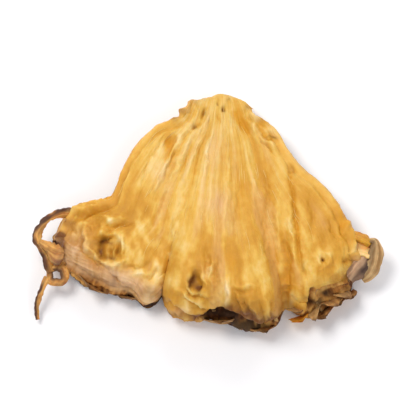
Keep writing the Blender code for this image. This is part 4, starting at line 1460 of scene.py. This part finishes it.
@dataclass(frozen=True)
class Graph:
    """Adds nodes to a tree and links them."""

    tree: Tree

    def add(self, kind: str, feeds: dict[int | str, object] | None = None, **settings: object) -> Node:
        """Adds a node.

        Args:
            kind: The node's type.
            feeds: What each input gets, by its name or number.
            settings: Values of the node's own settings.

        Returns:
            The node.
        """
        node = self.tree.nodes.new(kind)
        for name, value in settings.items():
            setattr(node, name, value)
        for name, value in (feeds or {}).items():
            self.feed(node.inputs[name], value)
        return node

    def feed(self, socket: Socket, value: object) -> None:
        """Gives an input a value, or links it to a socket or to a node's first output.

        Args:
            socket: The input.
            value: What it gets.
        """
        if isinstance(value, Node):
            value = value.outputs[0]
        if isinstance(value, Socket):
            self.tree.links.new(value, socket)
        else:
            socket.default_value = value

    def maths(self, operation: str, *values: object, clamp: bool = False) -> Socket:
        """Works out one value."""
        feeds = dict(enumerate(values))
        return self.add("ShaderNodeMath", feeds, operation=operation, use_clamp=clamp).outputs[0]

    def socket(
        self, name: str, kind: str = "NodeSocketFloat", default: object = None, output: bool = False
    ) -> None:
        """Adds a named input or output to a group.

        Args:
            name: The socket's name.
            kind: Its type.
            default: Its value, if it has one.
            output: Whether it is an output.
        """
        item = self.tree.interface.new_socket(name, in_out="OUTPUT" if output else "INPUT", socket_type=kind)
        if default is not None:
            item.default_value = default


class Grower:
    """A Geometry Nodes tree with named inputs that grows a piece on a guide."""

    def __init__(self, name: str, sizes: dict[str, float]) -> None:
        """Starts the tree.

        Args:
            name: The tree's name.
            sizes: Its named inputs, in metres or plain numbers.
        """
        self.sizes = sizes
        self.graph = Graph(bpy.data.node_groups.new(name, "GeometryNodeTree"))
        self.add = self.graph.add
        self.graph.socket("Geometry", "NodeSocketGeometry")
        self.graph.socket("Geometry", "NodeSocketGeometry", output=True)
        self.graph.socket("Finish", "NodeSocketMaterial")
        self.graph.socket("Seed", "NodeSocketInt", 0)
        for size, value in sizes.items():
            self.graph.socket(size, default=value)
        self.given = self.add("NodeGroupInput").outputs

    def marked(self, name: str, least: float, *factors: Socket) -> Socket:
        """Picks out where a mark of the guide is strong.

        Args:
            name: The mark's name.
            least: The value that it has to pass.
            factors: Values that it is multiplied by first.

        Returns:
            1 there and 0 elsewhere.
        """
        value = self.add("GeometryNodeInputNamedAttribute", {"Name": name}, data_type="FLOAT")
        for factor in factors:
            value = self.graph.maths("MULTIPLY", value, factor)
        return self.graph.maths("GREATER_THAN", value, least)

    def tube(self, curve: Node, size: Socket, sides: int) -> Socket:
        """Gives a curve a round body.

        Args:
            curve: The curve.
            size: Its radius along the way.
            sides: Number of its sides.

        Returns:
            The body, closed at both ends.
        """
        thinned = self.add("GeometryNodeSetCurveRadius", {"Curve": curve, "Radius": size})
        profile = self.add("GeometryNodeCurvePrimitiveCircle", {"Resolution": sides, "Radius": 1.0})
        feeds = {"Curve": thinned, "Profile Curve": profile, "Scale": size, "Fill Caps": True}
        return self.add("GeometryNodeCurveToMesh", feeds).outputs[0]

    def draw(self, low: float, high: float, seed: int) -> Socket:
        """A number drawn for each copy."""
        feeds = {2: low, 3: high, "Seed": seed}
        return self.add("FunctionNodeRandomValue", feeds, data_type="FLOAT").outputs[1]

    def scatter(self, picked: Socket, thing: Socket, least: object, most: object, scale: Socket) -> Socket:
        """Scatters copies of a thing over the guide, each turned its own way.

        Args:
            picked: Where they may lie.
            thing: What is copied.
            least: Least turn about each axis.
            most: Greatest turn about each axis.
            scale: Size of each copy.

        Returns:
            The copies.
        """
        feeds = {"Mesh": self.given["Geometry"], "Selection": picked}
        feeds |= {"Density": self.given["Density"], "Seed": self.given["Seed"]}
        spots = self.add("GeometryNodeDistributePointsOnFaces", feeds)
        feeds = {0: least, 1: most, "Seed": self.given["Seed"]}
        turn = self.add("FunctionNodeRandomValue", feeds, data_type="FLOAT_VECTOR")
        feeds = {0: spots.outputs["Rotation"], 1: turn}
        tilt = self.add("FunctionNodeRotateRotation", feeds, rotation_space="LOCAL")
        feeds = {"Points": spots, "Instance": thing, "Rotation": tilt, "Scale": scale}
        return self.add("GeometryNodeInstanceOnPoints", feeds).outputs[0]

    def grow(self, name: str, grown: Socket, guide: Mesh, finish: Material, seed: int) -> Piece:
        """Ends the tree, grows the piece and keeps it as a plain mesh.

        Args:
            name: The piece's name.
            grown: What the tree has grown.
            guide: The mesh that it grows on.
            finish: The piece's material.
            seed: Seed of whatever the tree draws.

        Returns:
            The piece.
        """
        real = self.add("GeometryNodeRealizeInstances", {"Geometry": grown})
        smooth = self.add("GeometryNodeSetShadeSmooth", {"Geometry": real})
        dressed = self.add("GeometryNodeSetMaterial", {"Geometry": smooth, "Material": self.given["Finish"]})
        self.add("NodeGroupOutput", {0: dressed})
        carrier = link(name + "_guide", guide)
        modifier = carrier.modifiers.new("grow", "NODES")
        modifier.node_group = self.graph.tree
        values = {"Finish": finish, "Seed": seed, **self.sizes}
        for item in self.graph.tree.interface.items_tree:
            if item.in_out == "INPUT" and item.name in values:
                modifier[item.identifier] = values[item.name]
        seen = carrier.evaluated_get(bpy.context.evaluated_depsgraph_get())
        mesh = bpy.data.meshes.new_from_object(seen)
        mesh.name = name
        carrier.modifiers.remove(modifier)
        bpy.data.objects.remove(carrier)
        return link(name, mesh)


@dataclass(frozen=True)
class Strands:
    """Raised fibres that run down the face from the tip, each sunk in at both ends."""

    count: int = 84
    shortest: float = 0.10
    longest: float = 0.22
    thickness: float = 0.058
    wander: float = 0.12
    sides: int = 5
    steps: int = 22
    seed: int = 81

    def build(self, skin: Skin, finish: Material, face_rows: int) -> Piece:
        """Sweeps a thin round profile along each line, thinning out towards its ends.

        Args:
            skin: The surface that the fibres lie on.
            finish: Their material.
            face_rows: Rows of the surface that belong to the face.

        Returns:
            The piece.
        """
        sweep = Grower("sweep_strands", {"Thickness": self.thickness * MM, "Wander": self.wander * MM})
        add, maths, given = sweep.add, sweep.graph.maths, sweep.given
        curve = add("GeometryNodeMeshToCurve", {"Mesh": given["Geometry"]})
        noise = add("ShaderNodeTexNoise", {"Scale": 420.0, "Detail": 1.0}, noise_dimensions="3D")
        feeds = {0: noise.outputs["Color"], 1: (0.5, 0.5, 0.5)}
        middle = add("ShaderNodeVectorMath", feeds, operation="SUBTRACT")
        offset = add("ShaderNodeVectorMath", {0: middle, "Scale": given["Wander"]}, operation="SCALE")
        moved = add("GeometryNodeSetPosition", {"Geometry": curve, "Offset": offset})
        factor = add("GeometryNodeSplineParameter")
        held = maths("MAXIMUM", maths("SINE", maths("MULTIPLY", factor, math.pi)), 0.12)
        grown = sweep.tube(moved, maths("MULTIPLY", held, given["Thickness"]), self.sides)
        return sweep.grow("raised_strands", grown, self.lines(skin, face_rows), finish, self.seed)

    def lines(self, skin: Skin, face_rows: int) -> Mesh:
        """Lays the lines of the fibres on the face.

        Args:
            skin: The surface that they lie on.
            face_rows: Rows of the surface that belong to the face.

        Returns:
            The lines, as a mesh of edges.
        """
        rng = np.random.default_rng(self.seed)
        points, edges = [], []
        rise = arch(np.linspace(0.02, 0.98, self.steps))
        for _ in range(self.count):
            start = 0.03 + 0.8 * rng.random() ** 1.2
            length = self.shortest + (self.longest - self.shortest) * rng.random() ** 1.5
            along = np.linspace(start, min(start + length, 0.985), self.steps)
            drift = rng.uniform(-0.012, 0.012) * np.linspace(-1, 1, self.steps) ** 2
            across = rng.uniform(0.03, 0.97) + drift + 0.003 * np.sin(rng.uniform(0, 6) + 30 * along)
            lift = -0.10 + rng.uniform(0.06, 0.16) * rise
            first = len(points)
            points += (skin.follow(np.clip(across, 0.01, 0.99), along * (face_rows - 1), lift) * MM).tolist()
            edges += [(first + step, first + step + 1) for step in range(self.steps - 1)]
        lines = bpy.data.meshes.new("strand_lines")
        lines.from_pydata(points, edges, [])
        return lines


@dataclass(frozen=True)
class Frays:
    """Short torn fibres that stand out along the browned edges of the cut sides."""

    density: float = 60000.0
    length: float = 0.45
    thickness: float = 0.05
    spread: float = 1.1
    least_edge: float = 0.62
    bend: float = 0.45
    sides: int = 4
    steps: int = 7
    seed: int = 83

    def build(self, body: Piece, finish: Material) -> Piece:
        """Scatters bent, tapered fibres.

        Args:
            body: The piece that they grow on.
            finish: Their material.

        Returns:
            The piece.
        """
        sizes = {
            "Density": self.density, "Length": self.length * MM, "Thickness": self.thickness * MM,
            "Spread": self.spread}
        tree = Grower("scatter_side_frays", sizes)
        add, maths, given = tree.add, tree.graph.maths, tree.given
        end = add("ShaderNodeCombineXYZ", {"Z": given["Length"]})
        line = add("GeometryNodeCurvePrimitiveLine", {"Start": (0, 0, -0.2 * MM), "End": end})
        fine = add("GeometryNodeResampleCurve", {"Curve": line, "Count": self.steps})
        factor = add("GeometryNodeSplineParameter")
        aside = maths("MULTIPLY", maths("POWER", factor, 2.0), given["Length"])
        lean = add("ShaderNodeCombineXYZ", {"X": maths("MULTIPLY", aside, self.bend)})
        bent = add("GeometryNodeSetPosition", {"Geometry": fine, "Offset": lean})
        size = maths("MULTIPLY", maths("SUBTRACT", 1.1, factor), given["Thickness"])
        fibre = tree.tube(bent, size, self.sides)
        low = maths("MULTIPLY", given["Spread"], -1.0)
        least = add("ShaderNodeCombineXYZ", {"X": low, "Y": low, "Z": -3.1})
        most = add("ShaderNodeCombineXYZ", {"X": given["Spread"], "Y": given["Spread"], "Z": 3.1})
        edge = tree.marked("edge", self.least_edge)
        grown = tree.scatter(edge, fibre, least, most, tree.draw(0.45, 1.25, 5))
        return tree.grow("side_frays", grown, body.data.copy(), finish, self.seed)


@dataclass(frozen=True)
class Chaff:
    """Papery flakes and dead leaf points that cling to the rind."""

    density: float = 80000.0
    size: float = 0.9
    lowest: float = 2.2
    half_thickness: float = 0.035
    seed: int = 91

    def flake(self) -> Piece:
        """Builds one small curled, pointed flake with a real thickness.

        Returns:
            The piece.
        """
        along = np.linspace(0, 1, 6)[:, None]
        beside = np.linspace(-1, 1, 4)[None, :]
        x = (0.45 * np.sqrt(np.clip(1 - along**2, 0, 1)) + 0.03) * beside
        y, z = along + 0 * beside, 0.55 * along**2 - 0.5 * x**2
        top = np.stack([x, y, z + self.half_thickness], axis=-1)
        low = np.stack([x, y, z - self.half_thickness], axis=-1)
        return swept("flake_shape", np.concatenate([top, low[:, ::-1]], axis=1) / MM)

    def build(self, body: Piece, finish: Material) -> Piece:
        """Scatters flakes over the rind, lying against it with their points up and out.

        Args:
            body: The piece that they grow on.
            finish: Their material.

        Returns:
            The piece.
        """
        flake = self.flake()
        tree = Grower("scatter_chaff", {"Density": self.density, "Size": self.size * MM})
        height = tree.add("ShaderNodeSeparateXYZ", {0: tree.add("GeometryNodeInputPosition")}).outputs[2]
        rind = tree.marked("rind", 0.8, tree.graph.maths("GREATER_THAN", height, self.lowest * MM))
        shape = tree.add("GeometryNodeObjectInfo", {"Object": flake}, transform_space="ORIGINAL")
        scale = tree.graph.maths("MULTIPLY", tree.draw(0.4, 1.3, 7), tree.given["Size"])
        grown = tree.scatter(rind, shape.outputs["Geometry"], (-0.15, -0.35, -3.1), (0.35, 0.35, 3.1), scale)
        piece = tree.grow("rind_chaff", grown, body.data.copy(), finish, self.seed)
        bpy.data.objects.remove(flake)
        return piece


# --- Finishes ---


def tint(red: int, green: int, blue: int) -> Paint:
    """Makes a colour linear for a shader.

    Args:
        red: Red as the eye sees it, from 0 to 255.
        green: Green, likewise.
        blue: Blue, likewise.

    Returns:
        The colour.
    """
    parts = (channel / 255 for channel in (red, green, blue))
    linear = [part / 12.92 if part <= 0.04045 else ((part + 0.055) / 1.055) ** 2.4 for part in parts]
    return (*linear, 1.0)


class Effects:
    """The node groups that the finishes share."""

    def __init__(self) -> None:
        """Builds each group once."""
        self.grain = self.build_grain()
        self.mottle = self.build_mottle()

    @staticmethod
    def start(name: str, inputs: dict[str, float], output: str) -> tuple[Graph, Sockets, Socket]:
        """Starts a group.

        Args:
            name: The group's name.
            inputs: Its inputs and their values.
            output: Its output's name.

        Returns:
            The group, the sockets that it is given, and the one that it gives back.
        """
        graph = Graph(bpy.data.node_groups.new(name, "ShaderNodeTree"))
        for socket, value in inputs.items():
            graph.socket(socket, default=value)
        graph.socket(output, output=True)
        return graph, graph.add("NodeGroupInput").outputs, graph.add("NodeGroupOutput").inputs[0]

    def build_grain(self) -> Tree:
        """Fine fibres along a UV map: Across and Along set how many there are each way.

        Returns:
            The group.
        """
        inputs = {"Across": 100.0, "Along": 6.0, "Waviness": 0.5}
        graph, given, result = self.start("fibre_grain", inputs, "Grain")
        place = graph.add("ShaderNodeUVMap", uv_map="fibre")
        warp = graph.add("ShaderNodeTexNoise", {"Vector": place, "Scale": 9.0, "Detail": 2.0})
        split = graph.add("ShaderNodeSeparateXYZ", {0: place}).outputs
        shift = graph.maths("MULTIPLY", warp, given["Waviness"])
        waved = graph.maths("ADD", graph.maths("MULTIPLY", split[0], given["Across"]), shift)
        length = graph.maths("MULTIPLY", split[1], given["Along"])
        feeds = {"Vector": graph.add("ShaderNodeCombineXYZ", {0: waved, 1: length})}
        noise = graph.add("ShaderNodeTexNoise", feeds | {"Scale": 1.0, "Detail": 4.0, "Roughness": 0.6})
        graph.feed(result, graph.add("ShaderNodeMapRange", {0: noise, 1: 0.3, 2: 0.7}))
        return graph.tree

    def build_mottle(self) -> Tree:
        """Soft patches of a given size, in millimetres.

        Returns:
            The group.
        """
        inputs = {"Size": 5.0, "Detail": 3.0, "Low": 0.35, "High": 0.65}
        graph, given, result = self.start("mottle", inputs, "Patch")
        place = graph.add("ShaderNodeTexCoord").outputs["Object"]
        fine = graph.maths("DIVIDE", 1.0 / MM, given["Size"])
        noise = graph.add("ShaderNodeTexNoise", {"Vector": place, "Scale": fine, "Detail": given["Detail"]})
        graph.feed(result, graph.add("ShaderNodeMapRange", {0: noise, 1: given["Low"], 2: given["High"]}))
        return graph.tree


class Coat:
    """Layers the colours of one material."""

    def __init__(self, name: str, effects: Effects) -> None:
        """Starts the material.

        Args:
            name: Its name.
            effects: The shared node groups.
        """
        self.effects = effects
        self.material = bpy.data.materials.new(name)
        self.material.use_nodes = True
        self.graph = Graph(self.material.node_tree)
        self.shader = self.material.node_tree.nodes["Principled BSDF"]

    def mark(self, name: str, weight: float = 1.0) -> Socket:
        """A value that the piece carries, with its weight."""
        value = self.graph.add("ShaderNodeAttribute", attribute_name=name).outputs["Fac"]
        return value if weight == 1.0 else self.maths("MULTIPLY", value, weight)

    def group(self, tree: Tree, *values: float) -> Socket:
        """Places a shared effect with its values."""
        return self.graph.add("ShaderNodeGroup", dict(enumerate(values)), node_tree=tree).outputs[0]

    def grain(self, across: float, along: float, waviness: float) -> Socket:
        """Fibres along the piece."""
        return self.group(self.effects.grain, across, along, waviness)

    def mottle(self, size: float, detail: float = 3.0, low: float = 0.35, high: float = 0.65) -> Socket:
        """Soft patches, in millimetres."""
        return self.group(self.effects.mottle, size, detail, low, high)

    def blend(self, factor: object, first: object, second: object) -> Socket:
        """Mixes two colours."""
        return self.graph.add("ShaderNodeMix", {0: factor, 6: first, 7: second}, data_type="RGBA").outputs[2]

    def maths(self, operation: str, first: object, second: object) -> Socket:
        """Works out one value, held between 0 and 1."""
        return self.graph.maths(operation, first, second, clamp=True)

    def weigh(self, *parts: tuple[Socket, float], base: float = 0.0) -> Socket:
        """Adds up values.

        Args:
            parts: Each value with its weight.
            base: What they are added to.

        Returns:
            The sum.
        """
        for value, weight in parts:
            base = self.graph.maths("MULTIPLY_ADD", value, weight, base)
        return base

    def ramp(self, value: Socket, *stops: tuple[float, Paint]) -> Socket:
        """Colours a value.

        Args:
            value: The value.
            stops: Places from 0 to 1, each with its colour.

        Returns:
            The colour.
        """
        node = self.graph.add("ShaderNodeValToRGB", {0: value})
        elements = node.color_ramp.elements
        while len(elements) < len(stops):
            elements.new(0.5)
        for element, (place, colour) in zip(elements, stops):
            element.position, element.color = place, colour
        return node.outputs[0]

    def bump(self, height: Socket, distance: float, before: Socket | None = None) -> Socket:
        """Adds fine relief, with its depth in millimetres, to any that came before."""
        feeds = {"Height": height, "Distance": distance * MM, "Strength": 1.0}
        return self.graph.add("ShaderNodeBump", feeds | ({"Normal": before} if before else {})).outputs[0]

    def settle(self, colour: Socket, roughness: object, normal: Socket, **shader: object) -> Material:
        """Joins everything to the shader.

        Args:
            colour: Base colour.
            roughness: A value or a socket.
            normal: The relief.
            shader: Values of the shader's other sockets, with _ for a space.

        Returns:
            The material.
        """
        feeds = {"Base_Color": colour, "Roughness": roughness, "Normal": normal, **shader}
        for name, value in feeds.items():
            self.graph.feed(self.shader.inputs[name.replace("_", " ")], value)
        return self.material


@dataclass(frozen=True)
class FleshFinish:
    """Golden, half clear dried flesh that turns into bark at the rind."""

    # From valley to crest the colours follow the relief's height: darker valleys are painted shade and paler
    # crests painted highlight
    valley: Paint = tint(194, 136, 42)
    amber: Paint = tint(208, 152, 54)
    golden: Paint = tint(221, 176, 82)
    pale: Paint = tint(230, 197, 124)
    crest: Paint = tint(240, 218, 168)
    edge: Paint = tint(224, 162, 62)
    # Darker amber, painted as shade in the folds' valleys and used for the deep amber places
    groove_shade_and_amber: Paint = tint(208, 144, 24)
    # Brown of the stains, also used as painted shade in the slit, the pocket, the pits and the holes
    stain_and_shade: Paint = tint(104, 56, 22)
    beige: Paint = tint(196, 144, 90)
    beige_pale: Paint = tint(232, 192, 150)
    bark_dark: Paint = tint(104, 58, 24)
    bark: Paint = tint(172, 114, 50)
    bark_pale: Paint = tint(216, 164, 88)
    # Near-black painted shade for the rind's recesses
    rind_shade: Paint = tint(36, 18, 9)
    smooth: float = 0.42
    rough: float = 0.60
    rind_rough: float = 0.22

    def build(self, effects: Effects) -> Material:
        """Makes the material.

        Args:
            effects: The shared node groups.

        Returns:
            The material.
        """
        coat = Coat("dried_flesh_skin", effects)
        ridge, tone, rind = coat.mark("ridge"), coat.mark("tone"), coat.mark("rind")
        coarse, fine, flake = coat.grain(34, 1.6, 2), coat.grain(150, 5, 2.5), coat.grain(110, 5, 3)
        spots = coat.mottle(1.5, 3, 0.25, 0.75)
        # The ridge mark puts painted highlight on crests and painted shade in valleys, over the fibres' own
        # streaks
        level = coat.weigh(
            (ridge, 0.50), (tone, 0.55), (coarse, 0.18), (fine, 0.07), (spots, 0.13), base=-0.315)
        colour = coat.ramp(
            level, (0.04, self.valley), (0.28, self.amber), (0.48, self.golden), (0.70, self.pale),
            (0.95, self.crest))
        level = coat.weigh((ridge, 0.6), (coarse, 0.4))
        beige = coat.ramp(level, (0.25, self.beige), (0.75, self.beige_pale))
        # Layers over the flesh: browned edges, beige with a painted highlight at the middle, painted shade in
        # the grooves, and stains with painted shade in hollows
        layers = (
            ("edge", 0.75, self.edge), ("beige", 0.85, beige), ("groove_shade_and_amber", 0.7, self.groove_shade_and_amber),
            ("stain_and_shade", 0.9, self.stain_and_shade))
        for mark, weight, over in layers:
            colour = coat.blend(coat.mark(mark, weight), colour, over)
        barky = coat.weigh((coat.mark("bark"), 0.75), (flake, 0.25))
        bark = coat.ramp(barky, (0.2, self.bark_dark), (0.5, self.bark), (0.85, self.bark_pale))
        # The rind's painted shade darkens its recesses almost to black
        bark = coat.blend(coat.mark("rind_shade", 0.92), bark, self.rind_shade)
        rough = coat.graph.add("ShaderNodeMapRange", {0: fine, 3: self.smooth, 4: self.rough}).outputs[0]
        rough = coat.maths("ADD", rough, coat.maths("MULTIPLY", rind, self.rind_rough))
        normal = coat.bump(fine, 0.05, coat.bump(coat.mottle(0.7, 3, 0.2, 0.8), 0.08))
        return coat.settle(
            coat.blend(rind, colour, bark), rough, normal, Subsurface_Weight=0.20, Subsurface_Scale=2.0 * MM,
            Subsurface_Radius=(1.0, 0.55, 0.2), IOR=1.40, Specular_IOR_Level=0.32)


@dataclass(frozen=True)
class StrandFinish:
    """Pale, slightly shiny fibre."""

    pale: Paint = tint(236, 198, 122)
    golden: Paint = tint(224, 172, 80)
    roughness: float = 0.48

    def build(self, effects: Effects) -> Material:
        """Makes the material.

        Args:
            effects: The shared node groups.

        Returns:
            The material.
        """
        coat = Coat("dried_fibre", effects)
        colour = coat.blend(coat.mottle(5, 2), self.pale, self.golden)
        normal = coat.bump(coat.mottle(0.4, 2), 0.03)
        return coat.settle(colour, self.roughness, normal, Subsurface_Weight=0.2, Subsurface_Scale=1.2 * MM)


@dataclass(frozen=True)
class SkinFinish:
    """Dry skin: its low parts, its ridges, and its darkened patches."""

    name: str
    low: Shade
    high: Shade
    dark: Shade
    darkness: float
    roughness: float
    clear: float

    def build(self, effects: Effects) -> Material:
        """Makes the material.

        Args:
            effects: The shared node groups.

        Returns:
            The material.
        """
        coat = Coat(self.name, effects)
        grain = coat.grain(70, 5, 1)
        level = coat.maths("ADD", coat.mark("ridge", 0.6), coat.maths("MULTIPLY", grain, 0.4))
        colour = coat.ramp(level, (0.25, tint(*self.low)), (0.75, tint(*self.high)))
        patches = coat.maths("MULTIPLY", coat.mottle(2.6, 4, 0.42, 0.62), self.darkness)
        for factor in (patches, coat.mark("burnt")):
            colour = coat.blend(factor, colour, tint(*self.dark))
        normal = coat.bump(grain, 0.10, coat.bump(coat.mottle(0.6, 3, 0.2, 0.8), 0.06))
        return coat.settle(
            colour, self.roughness, normal, Subsurface_Weight=self.clear, Subsurface_Scale=1.5 * MM)


FINISHES = {
    Look.SKIN: SkinFinish("dry_skin", (184, 114, 40), (238, 180, 92), (82, 46, 18), 0.45, 0.5, 0.25),
    Look.FLESH: SkinFinish("rolled_flesh", (202, 134, 14), (234, 180, 46), (172, 100, 18), 0.4, 0.5, 0.25),
    Look.PALE: SkinFinish("pale_flesh", (240, 184, 98), (252, 216, 146), (222, 156, 72), 0.3, 0.5, 0.25),
    Look.WEB: SkinFinish("grey_rind", (156, 116, 84), (206, 166, 128), (52, 28, 16), 0.3, 0.7, 0.1),
    Look.RIND: SkinFinish("curled_rind", (164, 120, 66), (228, 188, 130), (104, 76, 44), 0.3, 0.7, 0.1),
    Look.SCALE: SkinFinish("rind_scale", (132, 84, 40), (216, 162, 90), (70, 42, 24), 0.45, 0.75, 0.08),
    Look.CHAFF: SkinFinish("papery_chaff", (142, 100, 54), (212, 170, 106), (92, 62, 36), 0.5, 0.75, 0.1),
}


# --- Studio ---


@dataclass(frozen=True)
class Lamp:
    """A square soft light that faces the object."""

    name: str
    place: tuple[float, float, float]
    size: float
    power: float
    colour: tuple[float, float, float]

    def hang(self, target: Vector) -> None:
        """Hangs it in its place.

        Args:
            target: What it faces.
        """
        data = bpy.data.lights.new(self.name, "AREA")
        data.size, data.energy, data.color = self.size, self.power, self.colour
        lamp = link(self.name, data)
        lamp.location = self.place
        lamp.rotation_euler = (target - lamp.location).to_track_quat("-Z", "Y").to_euler()


@dataclass(frozen=True)
class Studio:
    """A pale floor, soft lights and the camera."""

    elevation: float = 70.0
    lens: float = 300.0
    sensor: float = 36.0
    filled: float = 0.84
    nearest: float = 0.01
    floor_size: float = 2.0
    floor_colour: Paint = tint(246, 246, 248)
    floor_roughness: float = 0.9
    sky: Paint = (0.92, 0.94, 1.0, 1.0)
    sky_power: float = 0.45
    lamps: tuple[Lamp, ...] = (
        Lamp("key", (-0.24, 0.12, 0.55), 0.26, 2.12, (1.0, 0.97, 0.93)),
        Lamp("fill", (0.22, -0.38, 0.38), 0.40, 1.0, (1.0, 1.0, 1.0)),
        Lamp("back", (0.10, 0.45, 0.30), 0.30, 1.1, (1.0, 0.98, 0.95)),
    )

    def build(self) -> None:
        """Builds them round the object."""
        low, high = CAD_BOX
        middle = (low + high) / 2
        self.floor(low.z)
        world = bpy.data.worlds.new("studio")
        world.use_nodes = True
        colour, power = world.node_tree.nodes["Background"].inputs[:2]
        colour.default_value, power.default_value = self.sky, self.sky_power
        bpy.context.scene.world = world
        bpy.context.scene.view_settings.view_transform = "Standard"
        for lamp in self.lamps:
            lamp.hang(middle)
        camera = link("camera", bpy.data.cameras.new("camera"))
        camera.data.lens, camera.data.sensor_width = self.lens, self.sensor
        camera.data.clip_start = self.nearest
        distance = (high.x - low.x) / self.filled * self.lens / self.sensor
        up = math.radians(self.elevation)
        away = Vector((0.0, -math.cos(up), math.sin(up)))
        camera.location = middle + away * distance
        camera.rotation_euler = (-away).to_track_quat("-Z", "Y").to_euler()
        bpy.context.scene.camera = camera

    def floor(self, height: float) -> None:
        """Lays the floor just under the object.

        Args:
            height: Height of the object's lowest point.
        """
        mesh = bpy.data.meshes.new("floor")
        corners = ((-1, -1), (1, -1), (1, 1), (-1, 1))
        corners = [(x * self.floor_size, y * self.floor_size, height) for x, y in corners]
        mesh.from_pydata(corners, [], [(0, 1, 2, 3)])
        material = bpy.data.materials.new("floor")
        material.use_nodes = True
        shader = material.node_tree.nodes["Principled BSDF"]
        shader.inputs["Base Color"].default_value = self.floor_colour
        shader.inputs["Roughness"].default_value = self.floor_roughness
        mesh.materials.append(material)
        piece = link("floor", mesh)


# --- The whole ---


SCALES = (
    RindScale("bract_left", -33.0, 1.0, 5.0, 3.6, 12, 14, 12, 101),
    RindScale("bract_left_low", -23.5, 0.8, 4.0, 3.0, 16, 20, -16, 104),
    RindScale("bract_middle", 1.0, 1.0, 5.8, 4.0, 8, 16, -6, 107),
    RindScale("bract_middle_right", 9.0, 0.8, 4.8, 3.2, 14, 20, 14, 110),
    RindScale("flake_1", 19.4, 1.0, 4.0, 2.6, 24, 18, -16, 113, look=Look.FLESH),
    RindScale("flake_2", 23.6, 0.8, 4.6, 3.2, 26, 20, 4, 116),
    RindScale("flake_3", 27.4, 2.2, 4.2, 2.8, 22, 22, 8, 119),
    RindScale("flake_4", 30.6, 1.0, 3.4, 2.6, 22, 22, 16, 122),
    RindScale("flake_5", 22.6, 4.4, 3.6, 1.5, 34, 30, -44, 125, look=Look.CHAFF),
    RindScale("flake_6", 26.6, 4.2, 3.4, 2.4, 30, 36, 10, 128),
    RindScale("flake_7", 29.2, 4.6, 2.8, 1.8, 34, 30, 34, 131, look=Look.CHAFF),
    RindScale("flake_8", 18.2, 3.6, 3.0, 2.2, 26, 30, 12, 134, look=Look.CHAFF),
)
STRIPS = (
    Strip("skin_loop", Look.SKIN, (
        (-31.8, -29.6, 5.6, 30, 0.8, 0.5), (-33.6, -28.9, 6.3, 45, 0.9, 0.5),
        (-35.8, -29.4, 6.8, 50, 0.85, 0.4), (-38.2, -31.0, 7.0, 60, 0.75, 0.35),
        (-40.2, -33.2, 6.8, 70, 0.8, 0.35), (-40.6, -35.2, 6.4, 70, 1.0, 0.35),
        (-39.4, -37.6, 5.9, 60, 0.95, 0.4), (-38.2, -40.2, 5.2, 50, 0.95, 0.45),
        (-37.4, -42.2, 4.4, 50, 0.9, 0.5)), 201, 120, 0.9),
    Strip("skin_web", Look.SKIN, (
        (-40.2, -35.6, 6.4, 80, 1.1, 0.4), (-38.6, -36.8, 6.1, 85, 1.5, 0.4),
        (-36.8, -37.8, 5.7, 85, 2.0, 0.4), (-34.6, -38.4, 5.3, 80, 2.3, 0.5)), 204, 64, 0.5),
    Strip("skin_hook", Look.SKIN, (
        (-38.0, -43.6, 4.4, 60, 0.8, 0.5), (-39.0, -45.4, 4.0, 70, 0.75, 0.4),
        (-40.0, -47.8, 3.2, 70, 0.7, 0.35), (-40.6, -50.0, 2.3, 60, 0.65, 0.3),
        (-40.3, -52.4, 1.5, 50, 0.45, 0.25)), 207, 80, 0.9),
    Strip("rind_curl", Look.RIND, (
        (31.4, -44.2, 5.0, -50, 0.9, 0.5), (32.6, -43.4, 5.4, -58, 1.3, 0.45),
        (33.6, -42.2, 5.9, -64, 1.6, 0.45), (34.2, -40.8, 6.4, -68, 1.8, 0.4),
        (34.5, -39.2, 6.9, -66, 1.8, 0.4), (34.6, -37.6, 7.3, -60, 1.6, 0.4),
        (34.2, -36.2, 7.7, -50, 1.2, 0.5), (33.0, -36.0, 7.6, -40, 0.8, 0.5)), 210, 110, 0.5),
    Strip("flesh_lip", Look.FLESH, (
        (27.0, -32.8, 6.6, 30, 1.0, 0.9), (28.8, -34.5, 7.6, 40, 1.4, 1.1),
        (30.4, -35.2, 8.0, 50, 1.5, 1.1), (31.9, -35.9, 8.0, 50, 1.4, 1.0),
        (33.2, -36.9, 7.6, 40, 0.8, 0.7)), 213, 72),
    Strip("curl_flesh", Look.PALE, (
        (27.6, -36.0, 7.2, 80, 2.2, 0.8), (30.2, -37.2, 7.3, 80, 2.4, 0.7),
        (33.4, -38.0, 7.0, 75, 2.2, 0.5)), 214, 56),
    Strip("rind_web", Look.WEB, (
        (32.6, -38.2, 6.9, 80, 1.3, 0.5), (31.3, -40.4, 6.7, 80, 2.0, 0.6),
        (29.9, -42.2, 6.3, 78, 2.2, 0.6), (28.2, -44.0, 5.6, 72, 1.7, 0.6)), 218, 64, -0.65),
    Strip("ear_roll", Look.FLESH, (
        (-24.0, -29.6, 6.2, 30, 1.0, 0.9), (-26.6, -28.6, 5.9, 30, 1.2, 1.0),
        (-29.4, -29.0, 5.6, 30, 1.1, 1.0), (-31.6, -30.0, 5.6, 30, 1.1, 1.0),
        (-33.2, -32.8, 5.4, 30, 0.9, 0.9)), 216, 80),
)


def main() -> None:
    """Builds the quarter, dresses it and sets the studio round it."""
    logging.basicConfig(level=logging.INFO, format="%(name)s %(message)s")
    effects = Effects()
    flesh, fibre = FleshFinish().build(effects), StrandFinish().build(effects)
    looks = {look: finish.build(effects) for look, finish in FINISHES.items()}
    chaff = looks[Look.CHAFF]
    body = FleshBody()
    skin = body.skin()
    fan = body.build(skin)
    grown = (
        (Strands().build(skin, fibre, body.face_rows), fibre),
        (Chaff().build(fan, chaff), chaff),
        (Frays().build(fan, fibre), fibre),
    )
    fit(fan, flesh)
    for piece, finish in grown:
        fit(piece, finish)
    for part in (*SCALES, *STRIPS, SkinRing()):
        fit(part.build(), looks[part.look])
    Studio().build()


if __name__ == "__main__":
    main()
